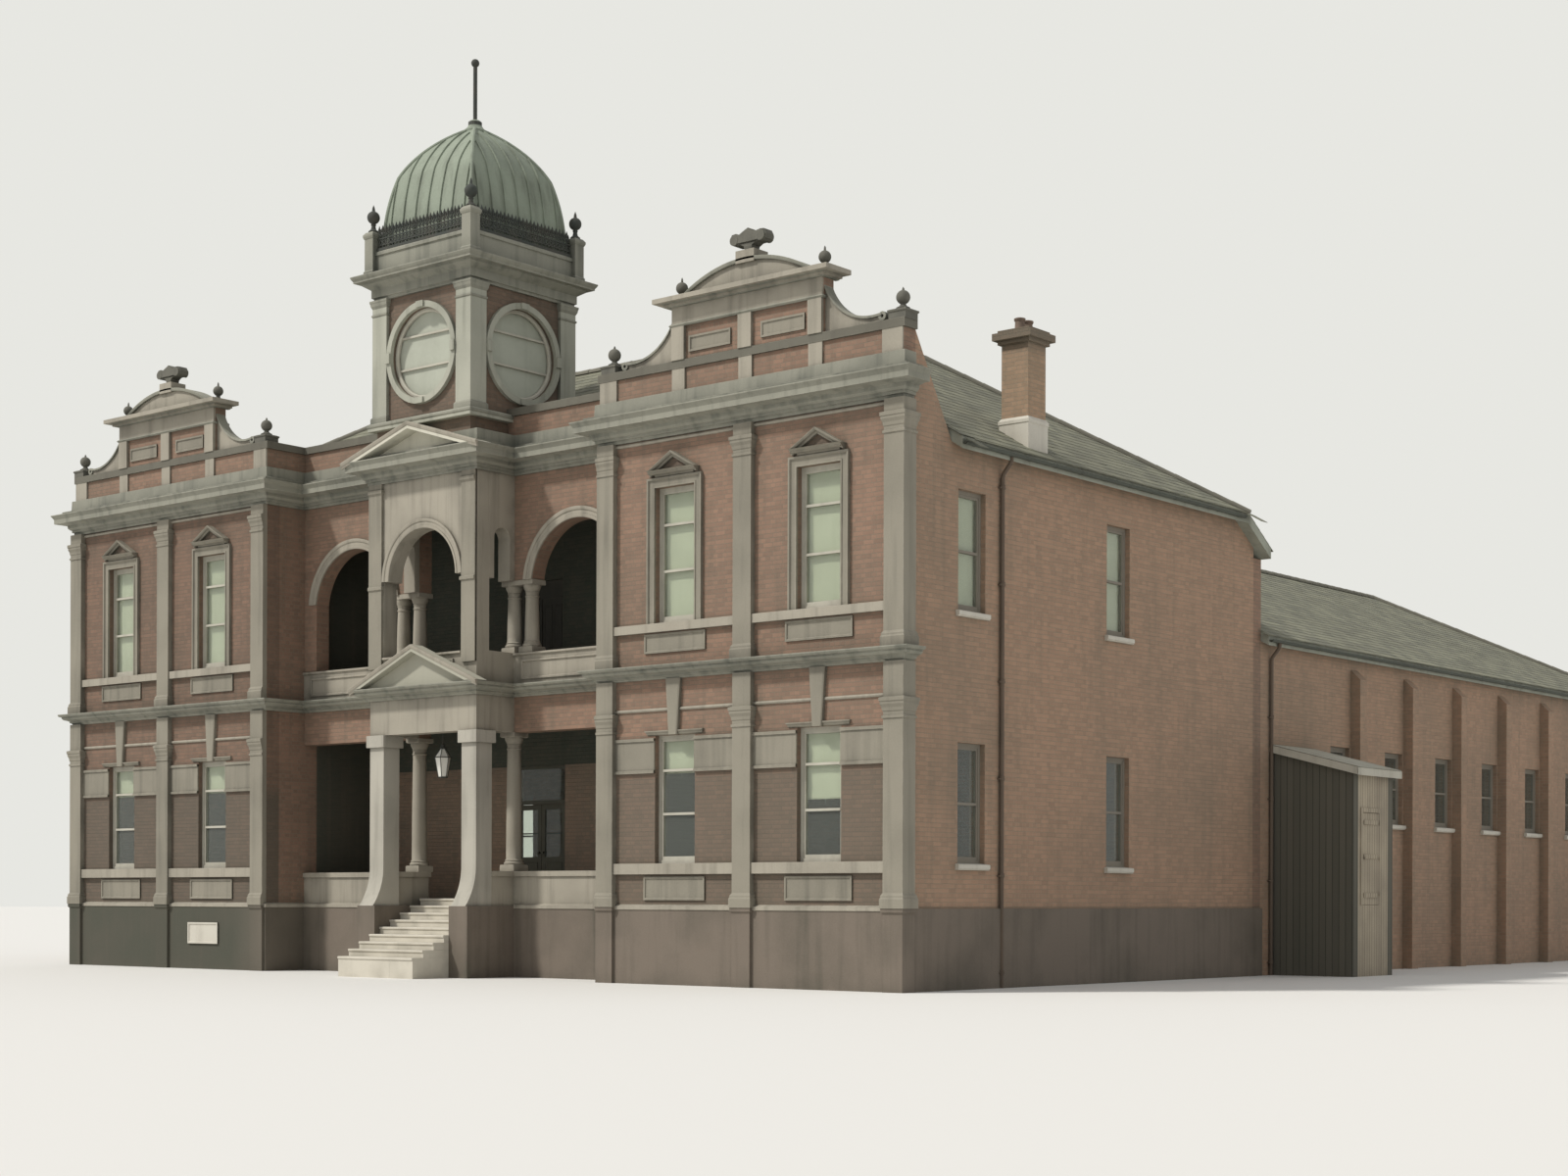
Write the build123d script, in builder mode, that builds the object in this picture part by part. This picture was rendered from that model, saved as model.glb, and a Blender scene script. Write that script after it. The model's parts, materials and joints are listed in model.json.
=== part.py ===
from build123d import *
import os

# A two-storey civic building with a square tower, an arcaded porch and a long hall behind.
# Origin: middle of the front at the lowest ground level. +X to the right along the front,
# +Y back into the building, +Z up. Millimetres.

# Front, measured over the corner pilasters
front_width = 26000
corner_return = 100
pilaster_width = 450
pilaster_depth = 120
bay = 3610
recess_depth = 1100
loggia_depth = 2400
centre_width = 3400
main_depth = 13500

# Walls and floors
wall = 360
plinth_out = 60
plinth_ledge = 130
floor_thickness = 160
upper_floor_thickness = 250

# Heights, each measured from the one before it, from the lowest ground up
plinth_height = 1520
ground_sill_height = 860
ground_window_height = 2520
ground_lintel = 1100
beam_depth = 750
upper_sill_height = 1100
upper_window_height = 2670
upper_lintel = 980
parapet_height = 440
parapet_coping = 160
ceiling_drop = 600
ceiling_thickness = 150

# Windows
window_width = 1050
side_window_width = 890
side_window_height = 2270
side_ground_drop = 30
side_upper_drop = 20
rear_upper_drop = 150
rear_upper_window_height = 1850
side_window_y = [2165, 7390]
rear_window_x = [-10500, -6700, -2900]
frame_width = 70
frame_depth = 80
frame_setback = 110
glass_thickness = 12

# Porch, loggia and steps
pier_width = 450
column_radius = 170
column_spacing = 540
balustrade_width = 300
balustrade_height = 750
loggia_wall_height = 950
coping_thickness = 110
low_coping_out = 40
arch_jamb = 430
arch_from_column = 180
loggia_column_height = 1550
arch_flattening = 150
centre_arch_half_span = 1070
centre_arch_lift = 100
side_arch_half_span = 230
pier_flare_height = 830
pier_waist = (95, 350)
pier_cap_height = 260
pier_cap_out = 60
pedestal_front = 300
pedestal_inner = 1190
street_level = 280
step_count = 9
step_going = 290
top_step_setback = 210
column_foot = 140
column_head = 300
porch_column_square = 215
loggia_column_radius = 160
loggia_column_square = 200
arch_ring = 230
centre_arch_ring = 200
arch_ring_out = 60
lantern_y = 600
lantern_drops = (1450, 1000, 800)
lantern_radii = (110, 190, 60)
lantern_rod_half = 12

# Doors
door_opening = 1700
door_frame_height = 3020
door_height = 2150
door_frame = 70
door_thickness = 45
door_setback = 100
door_frame_proud = 20
door_transom = 90
door_stile = 110
door_lock_rail = 950
door_gap = 8
meeting_gap = 12
pane_inset = 18
fanlight_inset = 10
knob_height = 1050
knob_inset = 60
knob_radius = 28
knob_out = 55
upper_door_width = 1500
upper_door_height = 2900
upper_door_thickness = 60
hinge_radius = 12
hinge_offset = 13
hinge_height = 100
hinge_levels = (200, 1000, 1800)
hinge_clearance = 0.3
hinge_plate = 54
hinge_plate_thickness = 6

# Mouldings and trim of the front: layers are (bottom, top, how far out)
string_layers = [(0, 70, 120), (70, 190, 260), (190, 270, 330)]
cornice_bed_layers = [(0, 120, 90), (120, 230, 170), (230, 330, 290)]
cornice_lip = (330, 490, 460)
cornice_blocking = [(490, 580, 260), (580, 850, 90)]
moulding_return = 260
band_out = 90
ground_band_height = 210
upper_band_height = 170
side_turn = 260
capital_height = 260
capital_drops = (660, 250)
capital_out = 40
capital_forward = 50
surround_width = 190
surround_out = 70
shelf_half = 640
shelf_out = 190
shelf_height = 130
gable_inset = 30
hood_half = 760
hood_height = 90
hood_out = 60
gable_rise = 350
gable_out = 150
key_foot_half = 110
key_head_half = 190
key_out = 80
porch_gable_rise = 860
loggia_gable_rise = 660
gable_rake = 150
tympanum_out = 130
side_arch_lift = 870
centre_strip_width = 420
centre_strip_out = 60
centre_strip_foot = 250
coping_out = 50
parapet_width = 300

# Attic blocks over the front's two ends
attic_half = 1880
attic_frieze_height = 670
attic_frieze_depth = 380
attic_thickness = 300
attic_pier = 330
attic_pier_out = 70
attic_frieze_out = 50
attic_layers = [(0, 60, 150), (60, 150, 300)]
parapet_die_half = 230
parapet_die_out = 40
attic_crest_inset = 250
attic_crest_rise = 480
attic_pedestal_half = 230
attic_pedestal_out = 60
attic_pedestal_rise = 180
ornament_spread = 310
ornament_height = 190
ornament_scroll = 150
ornament_body = (560, 300)
ornament_head = (260, 200)
ornament_front = 20
ornament_depth = 260
wing_length = 1320
wing_head = 850
wing_waist = (420, 330)
wing_foot = 130
wing_setback = 60
wing_thickness = 180
finial_y = 150
end_pedestal = (230, 180, 180)
end_finial = (420, 130)
attic_finial_inset = 90
attic_finial = (470, 120)

# Roof of the main block
roof_slope = 0.625
roof_thickness = 220
roof_clearance = 95
rear_eave_rise = 570
side_eave_rise = 820
eave_overhang = 250
ramp_foot = 1500

# Tower
tower_size = 2980
tower_base_rise = 470
tower_shaft_height = 2710
tower_frieze_height = 280
tower_cornice_height = 240
tower_lip = 430
tower_attic_height = 550
tower_pedestal_rise = 440
tower_attic_out = 100
tower_ball = (620, 140)
cresting_rise = 570
cresting_thickness = 30
clock_rise = 1380
clock_radius = 970
clock_ring = 130
clock_key = 220
clock_key_out = 130
dome_size = 2760
tower_attic_wall = 180
dome_rise = 300
dome_height = 3080
dome_shell = 80
dome_curb = 200
dome_shoulder = (0.85, 0.62)
dome_cheek = (0.985, 60)
dome_crown = (0.57, 0.81)
tower_pedestal_half = 150
tower_pilaster = 380
tower_pilaster_out = 80
tower_band = 160
tower_band_out = 150
tower_frieze_out = 100
tower_bed_out = 260
tower_bed_height = 100
clock_ring_out = 90
clock_setback = 150
clock_clearance = 0.5
flagpole_radius = 45
flagpole_height = 1370
flagpole_collar = (150, 120)
flagpole_ball = 90

# Hall behind the right half
hall_left = 1100
hall_length = 24000
hall_eave = 7540
hall_slope = 0.519
hall_floor_top = 1600
hall_bay = 2950
hall_first_bay = 4700
hall_bays = 7
hall_window_width = 1000
hall_window_sill = 3580
hall_window_head = 5360
hall_window_gap = 60
hall_floor_thickness = 180
hall_overhang = 200
hall_roof_lap = 2500
hall_gutter_start = 320
buttress_width = 350
buttress_depth = 250
buttress_top = 7000
buttress_weathering = 250

# Lean-to closet beside the hall
lean_to_width = 2000
lean_to_gap = 550
lean_to_length = 2000
lean_to_wall = 240
lean_to_high = 5130
lean_to_low = 4600
lean_to_door_width = 850
lean_to_door_height = 2070
lean_to_door_start = 450
lean_to_overhang = 150
lean_to_verge = 100
lean_to_roof_thickness = 90

# Chimneys
chimney_y = 4500
chimney_width = 620
chimney_setback = 100
chimney_rise = 2660
chimney_layers = [(280, 200, 60), (200, 60, 140), (60, 0, 60)]

# Gutters and downpipes
gutter = 110
gutter_lift = 20
downpipe = 90
downpipe_y = 3100

# Worked out from the sizes above: heights
plinth_top = plinth_height
ground_sill = plinth_top + ground_sill_height
ground_head = ground_sill + ground_window_height
string_bottom = ground_head + ground_lintel
string_top = string_bottom + string_layers[-1][1]
beam_soffit = string_bottom - beam_depth
upper_sill = string_bottom + upper_sill_height
upper_head = upper_sill + upper_window_height
cornice_bottom = upper_head + upper_lintel
cornice_top = cornice_bottom + cornice_blocking[-1][1]
parapet_top = cornice_top + parapet_height
coping_top = parapet_top + parapet_coping
ceiling_top = cornice_top - ceiling_drop
side_ground_sill = ground_sill - side_ground_drop
side_ground_head = side_ground_sill + side_window_height
side_upper_sill = upper_sill - side_upper_drop
side_upper_head = side_upper_sill + side_window_height
rear_upper_sill = upper_sill - rear_upper_drop
rear_upper_head = rear_upper_sill + rear_upper_window_height
balustrade_top = plinth_top + balustrade_height
loggia_coping = string_bottom + loggia_wall_height
arch_spring = loggia_coping + loggia_column_height
centre_arch_spring = arch_spring + centre_arch_lift
side_arch_spring = arch_spring + side_arch_lift
floor_top = plinth_top + floor_thickness
door_head = floor_top + door_frame_height
attic_frieze = coping_top + attic_frieze_height
attic_cornice = attic_frieze + attic_frieze_depth
attic_cap = attic_cornice + attic_layers[-1][1]
attic_crest = attic_cap + attic_crest_rise
attic_pedestal_top = attic_crest + attic_pedestal_rise
rear_eave = rear_upper_head + rear_eave_rise
side_eave = rear_eave + side_eave_rise
chimney_top = side_eave + chimney_rise
tower_base_top = cornice_top + tower_base_rise
clock_height = tower_base_top + clock_rise
tower_frieze = tower_base_top + tower_shaft_height
tower_cornice_bottom = tower_frieze + tower_frieze_height
tower_cornice_top = tower_cornice_bottom + tower_cornice_height
tower_attic_top = tower_cornice_top + tower_attic_height
tower_pedestal_top = tower_attic_top + tower_pedestal_rise
dome_bottom = tower_cornice_top + dome_rise
dome_top = dome_bottom + dome_height
flagpole_top = dome_top + flagpole_height

# Worked out from the sizes above: places in plan
wall_half = front_width / 2 - corner_return
pilaster_x = [front_width / 2 - pilaster_width / 2 - n * bay for n in range(3)]
pavilion_inner = pilaster_x[2] - pilaster_width / 2
window_x = [(pilaster_x[n] + pilaster_x[n + 1]) / 2 for n in range(2)]
centre_half = centre_width / 2
loggia_back = recess_depth + loggia_depth
column_x = centre_half - wall / 2
arch_left = column_x + column_spacing + arch_from_column
arch_right = pavilion_inner - arch_jamb
arch_half_span = (arch_right - arch_left) / 2
arch_centre = (arch_right + arch_left) / 2
arch_crown = arch_spring + arch_half_span - arch_flattening
chimney_outer = wall_half - chimney_setback
chimney_inner = chimney_outer - chimney_width
loggia_front_inside = recess_depth + wall
roof_low = ceiling_top + roof_clearance
ridge_y = (main_depth + loggia_front_inside) / 2 + (rear_eave - roof_low) / (2 * roof_slope)
hall_back = main_depth + hall_length
hall_right = wall_half
hall_ridge_x = (hall_left + hall_right) / 2
tower_half = tower_size / 2
hall_first_buttress = main_depth + hall_first_bay
hall_roof_start = main_depth - hall_roof_lap
lean_to_front = main_depth + lean_to_gap
both = (1, -1)

os.makedirs("parts", exist_ok=True)


def save(piece, name):
    piece.part.label = name
    export_step(piece.part, f"parts/{name}.step")


def front_plane(y):
    """An upright plane across the building: its x runs along X, its y runs up."""
    return Plane(origin=(0, y, 0), x_dir=(1, 0, 0), z_dir=(0, -1, 0))


def side_plane(x):
    """An upright plane along the building: its x runs along Y, its y runs up."""
    return Plane(origin=(x, 0, 0), x_dir=(0, 1, 0), z_dir=(1, 0, 0))


def block(x, y, z, mode=Mode.ADD):
    """A box between two limits in each direction."""
    with Locations(((x[0] + x[1]) / 2, (y[0] + y[1]) / 2, (z[0] + z[1]) / 2)):
        Box(abs(x[1] - x[0]), abs(y[1] - y[0]), abs(z[1] - z[0]), mode=mode)


def panel(plane, outline, thickness, holes=(), mode=Mode.ADD):
    """An upright plate with rectangular holes, given as (centre, centre height, width, height)."""
    with BuildSketch(plane) as face:
        with BuildLine():
            Polyline(*outline, close=True)
        make_face()
        for across, up, width, height in holes:
            with Locations((across, up)):
                Rectangle(width, height, mode=Mode.SUBTRACT)
    extrude(face.sketch, amount=-thickness, mode=mode)


def prism(outline, bottom, top, mode=Mode.ADD):
    """A flat plate with the outline given in plan."""
    with BuildSketch(Plane.XY.offset(bottom)) as face:
        with BuildLine():
            Polyline(*outline, close=True)
        make_face()
    extrude(face.sketch, amount=top - bottom, mode=mode)


def arch_cut(plane, centre, half_span, bottom, spring, crown, thickness):
    """An opening with a round head, cut through a wall."""
    with BuildSketch(plane) as face:
        with BuildLine():
            Line((centre - half_span, spring), (centre - half_span, bottom))
            Line((centre - half_span, bottom), (centre + half_span, bottom))
            Line((centre + half_span, bottom), (centre + half_span, spring))
            ThreePointArc((centre + half_span, spring), (centre, crown), (centre - half_span, spring))
        make_face()
    extrude(face.sketch, amount=-thickness, mode=Mode.SUBTRACT)


def mirrored(outline):
    return [(-x, y) for x, y in outline]


def upright(centre, sill, head, width):
    """A window hole as (centre, centre height, width, height)."""
    return (centre, (sill + head) / 2, width, head - sill)


def facade_line(out, side_return):
    """The line of the front in plan, moved outwards, from the right side round to the left side."""
    right = [
        (wall_half + out, side_return),
        (wall_half + out, -out),
        (pavilion_inner - out, -out),
        (pavilion_inner - out, recess_depth - out),
        (centre_half + out, recess_depth - out),
        (centre_half + out, -out),
    ]
    return right + [(-x, y) for x, y in reversed(right)]


def facade_ribbon(out, side_return):
    """A moulding's plan: the front's own line and the same line moved outwards."""
    return facade_line(out, side_return) + facade_line(0, side_return)[::-1]


# Plinth walls on the ground, all round the main block
with BuildPart() as main_plinth:
    thick = plinth_out + wall + plinth_ledge
    up = (0, plinth_top)
    for side in both:
        outer = side * (wall_half + plinth_out)
        inner = side * (pavilion_inner - plinth_out)
        front = recess_depth - plinth_out
        pedestal = (side * pedestal_inner, side * (centre_half + plinth_out))
        block((inner, outer), (-plinth_out, thick - plinth_out), up)
        block((outer, outer - side * thick), (-plinth_out, main_depth), up)
        block((inner, inner + side * thick), (-plinth_out, loggia_back), up)
        block((side * pedestal_inner, inner), (front, front + thick), up)
        block(pedestal, (-pedestal_front, front), up)
    half = pavilion_inner - plinth_out + thick
    back = loggia_back - plinth_out
    block((-half, half), (back, back + thick), up)
    block((-wall_half - plinth_out, wall_half + plinth_out), (main_depth - thick, main_depth), up)
save(main_plinth, "main_plinth")

# Steps up from the street between the pedestals
with BuildPart() as front_steps:
    rise = (floor_top - street_level) / step_count
    start = recess_depth + top_step_setback - step_count * step_going
    with BuildSketch(side_plane(pedestal_inner)) as profile:
        with BuildLine():
            points = [(start, 0)]
            for n in range(step_count):
                height = street_level + (n + 1) * rise
                points += [(start + n * step_going, height), (start + (n + 1) * step_going, height)]
            points.append((start + step_count * step_going, 0))
            Polyline(*points, close=True)
        make_face()
    extrude(profile.sketch, amount=-2 * pedestal_inner)
porch_floor_front = start + step_count * step_going
save(front_steps, "front_steps")

# Ground floor: the rooms and the porch
inside = wall_half - wall
behind = main_depth - wall
return_inside = pavilion_inner + wall
room_outline = [
    (inside, wall), (inside, behind), (-inside, behind), (-inside, wall),
    (-return_inside, wall), (-return_inside, loggia_back + wall),
    (return_inside, loggia_back + wall), (return_inside, wall),
]
balustrade_back = recess_depth + balustrade_width
with BuildPart() as ground_floors:
    prism(room_outline, plinth_top, floor_top)
    prism(
        [
            (pavilion_inner, balustrade_back), (pavilion_inner, loggia_back), (-pavilion_inner, loggia_back),
            (-pavilion_inner, balustrade_back), (-pedestal_inner, balustrade_back),
            (-pedestal_inner, porch_floor_front), (pedestal_inner, porch_floor_front),
            (pedestal_inner, balustrade_back),
        ],
        plinth_top,
        floor_top,
    )
    block((-door_opening / 2, door_opening / 2), (loggia_back, loggia_back + wall), (plinth_top, floor_top))
save(ground_floors, "ground_floors")

# Upper floor: the rooms, the loggia floor over the porch and the loggia ceiling
centre_inside = centre_half - wall
loggia_outline = [
    (pavilion_inner, loggia_front_inside), (pavilion_inner, loggia_back), (-pavilion_inner, loggia_back),
    (-pavilion_inner, loggia_front_inside), (-centre_inside, loggia_front_inside), (-centre_inside, wall),
    (centre_inside, wall), (centre_inside, loggia_front_inside),
]
upper_floor_bottom = string_bottom - upper_floor_thickness
with BuildPart() as upper_floors:
    prism(room_outline, upper_floor_bottom, string_bottom)
    prism(loggia_outline, upper_floor_bottom, string_bottom)
    prism(loggia_outline, ceiling_top - ceiling_thickness, ceiling_top)
save(upper_floors, "upper_floors")

# Pavilion front walls, return walls, side walls and rear wall
front_holes = [upright(x, ground_sill, ground_head, window_width) for x in window_x]
front_holes += [upright(x, upper_sill, upper_head, window_width) for x in window_x]
for side, word in ((1, "right"), (-1, "left")):
    with BuildPart() as front_wall:
        outline = [
            (side * pavilion_inner, plinth_top), (side * wall_half, plinth_top),
            (side * wall_half, cornice_top), (side * pavilion_inner, cornice_top),
        ]
        panel(front_plane(0), outline, wall, [(side * x, z, w, h) for x, z, w, h in front_holes])
    save(front_wall, f"{word}_front_wall")

with BuildPart() as return_walls:
    for side in both:
        block((side * pavilion_inner, side * return_inside), (wall, loggia_back), (plinth_top, ceiling_top))
        block((side * pavilion_inner, side * return_inside), (wall, recess_depth), (ceiling_top, cornice_top))
save(return_walls, "return_walls")


def rear_underside(y):
    """Height of the underside of the rear roof slope."""
    return rear_eave + (main_depth - y) * roof_slope


def roof_top(y):
    """Height of the top of the front roof slope."""
    return rear_underside(ridge_y) + roof_thickness - (ridge_y - y) * roof_slope


side_holes = []
for y in side_window_y:
    side_holes.append(upright(y, side_ground_sill, side_ground_head, side_window_width))
    side_holes.append(upright(y, side_upper_sill, side_upper_head, side_window_width))
knee = main_depth - (side_eave - rear_eave) / roof_slope
side_outline = [
    (wall, plinth_top), (behind, plinth_top), (behind, rear_underside(behind)),
    (knee, side_eave), (ramp_foot, side_eave), (wall, parapet_top),
]
for side, word in ((1, "right"), (-1, "left")):
    with BuildPart() as side_wall:
        plane = side_plane(wall_half if side > 0 else -inside)
        panel(plane, side_outline, wall, side_holes)
    save(side_wall, f"{word}_side_wall")

rear_holes = [upright(x, side_ground_sill, side_ground_head, side_window_width) for x in rear_window_x]
rear_holes += [upright(x, rear_upper_sill, rear_upper_head, side_window_width) for x in rear_window_x]
with BuildPart() as rear_wall:
    outline = [
        (-wall_half, plinth_top), (wall_half, plinth_top),
        (wall_half, rear_eave), (-wall_half, rear_eave),
    ]
    panel(front_plane(behind), outline, wall, rear_holes)
save(rear_wall, "rear_wall")

# Back wall of the porch and loggia, beside and over the entrance
door_half = door_opening / 2
with BuildPart() as entrance_walls:
    thickness = (loggia_back, loggia_back + wall)
    for side in both:
        block((side * door_half, side * return_inside), thickness, (plinth_top, door_head))
save(entrance_walls, "entrance_walls")
with BuildPart() as loggia_back_wall:
    outline = [
        (-return_inside, door_head), (return_inside, door_head),
        (return_inside, ceiling_top), (-return_inside, ceiling_top),
    ]
    upper_door = upright(0, string_bottom, string_bottom + upper_door_height, upper_door_width)
    panel(front_plane(loggia_back), outline, wall, [upper_door])
save(loggia_back_wall, "loggia_back_wall")

# Recessed walls with the wide arches of the loggia, open below for the porch
for side, word in ((1, "right"), (-1, "left")):
    with BuildPart() as arch_wall:
        outline = [
            (side * centre_inside, beam_soffit), (side * pavilion_inner, beam_soffit),
            (side * pavilion_inner, cornice_top), (side * centre_inside, cornice_top),
        ]
        plane = front_plane(recess_depth)
        panel(plane, outline, wall)
        arch_cut(plane, side * arch_centre, arch_half_span, loggia_coping, arch_spring, arch_crown, wall)
        block(
            (side * centre_inside, side * arch_centre), (recess_depth, loggia_front_inside),
            (loggia_coping, arch_spring), mode=Mode.SUBTRACT,
        )
    save(arch_wall, f"{word}_arch_wall")

# Centre bay: its front wall with the round arch, and its two sides with narrow arches
with BuildPart() as centre_arch_wall:
    outline = [
        (-centre_half, beam_soffit), (centre_half, beam_soffit),
        (centre_half, cornice_top), (-centre_half, cornice_top),
    ]
    panel(front_plane(0), outline, wall)
    centre_crown = centre_arch_spring + centre_arch_half_span
    arch_cut(front_plane(0), 0, centre_arch_half_span, loggia_coping, centre_arch_spring, centre_crown, wall)
    pier_inner = centre_half - pier_width
    block((-pier_inner, pier_inner), (0, wall), (loggia_coping, centre_arch_spring), mode=Mode.SUBTRACT)
save(centre_arch_wall, "centre_arch_wall")
with BuildPart() as centre_arch_sides:
    side_arch_y = (wall + recess_depth) / 2
    for side in both:
        block((side * centre_inside, side * centre_half), (wall, recess_depth), (beam_soffit, cornice_top))
    for x in (centre_half, -centre_inside):
        arch_cut(
            side_plane(x), side_arch_y, side_arch_half_span, loggia_coping,
            side_arch_spring, side_arch_spring + side_arch_half_span, wall,
        )
        outline = [
            (wall, loggia_coping), (recess_depth, loggia_coping),
            (recess_depth, arch_spring), (wall, arch_spring),
        ]
        panel(side_plane(x), outline, wall, mode=Mode.SUBTRACT)
save(centre_arch_sides, "centre_arch_sides")

# Front piers of the porch, flared forward at the foot
with BuildPart() as porch_piers:
    for side in both:
        with BuildSketch(side_plane(centre_half if side > 0 else -pier_inner)) as profile:
            with BuildLine():
                flare = (0, plinth_top + pier_flare_height)
                waist = (-pier_waist[0], plinth_top + pier_waist[1])
                Line((0, beam_soffit), flare)
                ThreePointArc(flare, waist, (-pedestal_front, plinth_top))
                Line((-pedestal_front, plinth_top), (pier_width, plinth_top))
                Line((pier_width, plinth_top), (pier_width, beam_soffit))
                Line((pier_width, beam_soffit), (0, beam_soffit))
            make_face()
        extrude(profile.sketch, amount=-pier_width)
        block(
            (side * (pier_inner - pier_cap_out), side * (centre_half + pier_cap_out)),
            (-pier_cap_out, pier_width + pier_cap_out), (beam_soffit - pier_cap_height, beam_soffit),
        )
save(porch_piers, "porch_piers")

# Low walls of the porch, with their copings
with BuildPart() as porch_balustrades:
    for side in both:
        low = (plinth_top, balustrade_top - coping_thickness)
        top = (balustrade_top - coping_thickness, balustrade_top)
        block((side * centre_inside, side * pavilion_inner), (recess_depth, balustrade_back), low)
        block((side * centre_inside, side * centre_half), (pier_width, recess_depth), low)
        block(
            (side * (centre_inside - low_coping_out), side * pavilion_inner),
            (recess_depth - low_coping_out, balustrade_back + low_coping_out), top,
        )
        block(
            (side * (centre_inside - low_coping_out), side * (centre_half + low_coping_out)),
            (pier_width, recess_depth), top,
        )
save(porch_balustrades, "porch_balustrades")

# Round columns of the porch and, in pairs, of the loggia
column_y = recess_depth + wall / 2


def column(x, y, bottom, top, radius, half_cap):
    """A round column with a square foot and a square spreading head."""
    foot_top = bottom + column_foot
    head_bottom = top - column_head
    slab_bottom = top - column_head / 3
    square = ((x - half_cap, x + half_cap), (y - half_cap, y + half_cap))
    block(*square, (bottom, foot_top))
    with BuildSketch(Plane.XY.offset(foot_top)) as round_face:
        with Locations((x, y)):
            Circle(radius)
    extrude(round_face.sketch, amount=head_bottom - foot_top)
    with BuildSketch(Plane.XY.offset(head_bottom)) as neck:
        with Locations((x, y)):
            Rectangle(2 * radius, 2 * radius)
    with BuildSketch(Plane.XY.offset(slab_bottom)) as spread:
        with Locations((x, y)):
            Rectangle(2 * half_cap, 2 * half_cap)
    loft([neck.sketch.face(), spread.sketch.face()])
    block(*square, (slab_bottom, top))


with BuildPart() as round_columns:
    for side in both:
        column(side * column_x, column_y, balustrade_top, beam_soffit, column_radius, porch_column_square)
        for x in (column_x, column_x + column_spacing):
            column(side * x, column_y, loggia_coping, arch_spring, loggia_column_radius, loggia_column_square)
save(round_columns, "round_columns")

def arch_band(plane, centre, half_span, spring, crown, width):
    """The moulded band round an arch's head, as wide at its feet as at its crown."""
    outer_half = half_span + width
    with BuildSketch(plane) as ring:
        with BuildLine():
            right = centre + outer_half
            left = centre - outer_half
            ThreePointArc((right, spring), (centre, crown + width), (left, spring))
            Line((left, spring), (centre - half_span, spring))
            ThreePointArc((centre - half_span, spring), (centre, crown), (centre + half_span, spring))
            Line((centre + half_span, spring), (right, spring))
        make_face()
    extrude(ring.sketch, amount=arch_ring_out)


# Moulded surrounds of the loggia's arches
with BuildPart() as arch_surrounds:
    for x in (arch_centre, -arch_centre):
        arch_band(front_plane(recess_depth), x, arch_half_span, arch_spring, arch_crown, arch_ring)
    arch_band(front_plane(0), 0, centre_arch_half_span, centre_arch_spring, centre_crown, centre_arch_ring)
save(arch_surrounds, "arch_surrounds")

# Mouldings that run round every break of the front
with BuildPart() as string_course:
    for low, high, out in string_layers:
        prism(facade_ribbon(out, moulding_return), string_bottom + low, string_bottom + high)
save(string_course, "string_course")
with BuildPart() as main_cornice:
    for low, high, out in [*cornice_bed_layers, cornice_lip, *cornice_blocking]:
        prism(facade_ribbon(out, moulding_return), cornice_bottom + low, cornice_bottom + high)
save(main_cornice, "main_cornice")

# Sill bands between the pilasters
with BuildPart() as sill_bands:
    for side in both:
        for n in range(2):
            near = side * (pilaster_x[n + 1] + pilaster_width / 2)
            far = side * (pilaster_x[n] - pilaster_width / 2)
            block((near, far), (-band_out, 0), (ground_sill - ground_band_height, ground_sill))
            block((near, far), (-band_out, 0), (upper_sill - upper_band_height, upper_sill))
save(sill_bands, "sill_bands")

# Pilasters of both storeys, with their caps and the corner ones turned round the side
with BuildPart() as pilasters:
    for side in both:
        for n, x in enumerate(pilaster_x):
            near = side * (x - pilaster_width / 2)
            far = side * (x + pilaster_width / 2)
            cap_near = side * (x - pilaster_width / 2 - (0 if n == 2 else capital_out))
            cap_far = side * (x + pilaster_width / 2 + capital_out)
            cap_y = (-pilaster_depth - capital_forward, 0)
            storeys = ((plinth_top, string_bottom), (string_top, cornice_bottom))
            for (low, high), drop in zip(storeys, capital_drops):
                cap_z = (high - drop - capital_height, high - drop)
                block((near, far), (-pilaster_depth, 0), (low, high))
                block((cap_near, cap_far), cap_y, cap_z)
                if n == 0:
                    block((side * wall_half, far), (-pilaster_depth, side_turn), (low, high))
                    block((side * wall_half, cap_far), (cap_y[0], side_turn + capital_out), cap_z)
            block((near, far), (-pilaster_depth, -plinth_out), (0, plinth_top))
            if n == 0:
                block((side * (wall_half + plinth_out), far), (-pilaster_depth, side_turn), (0, plinth_top))
        strip = (side * centre_half, side * (centre_half - centre_strip_width))
        block(strip, (-centre_strip_out, 0), (loggia_coping - centre_strip_foot, cornice_bottom))
save(pilasters, "pilasters")

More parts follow.
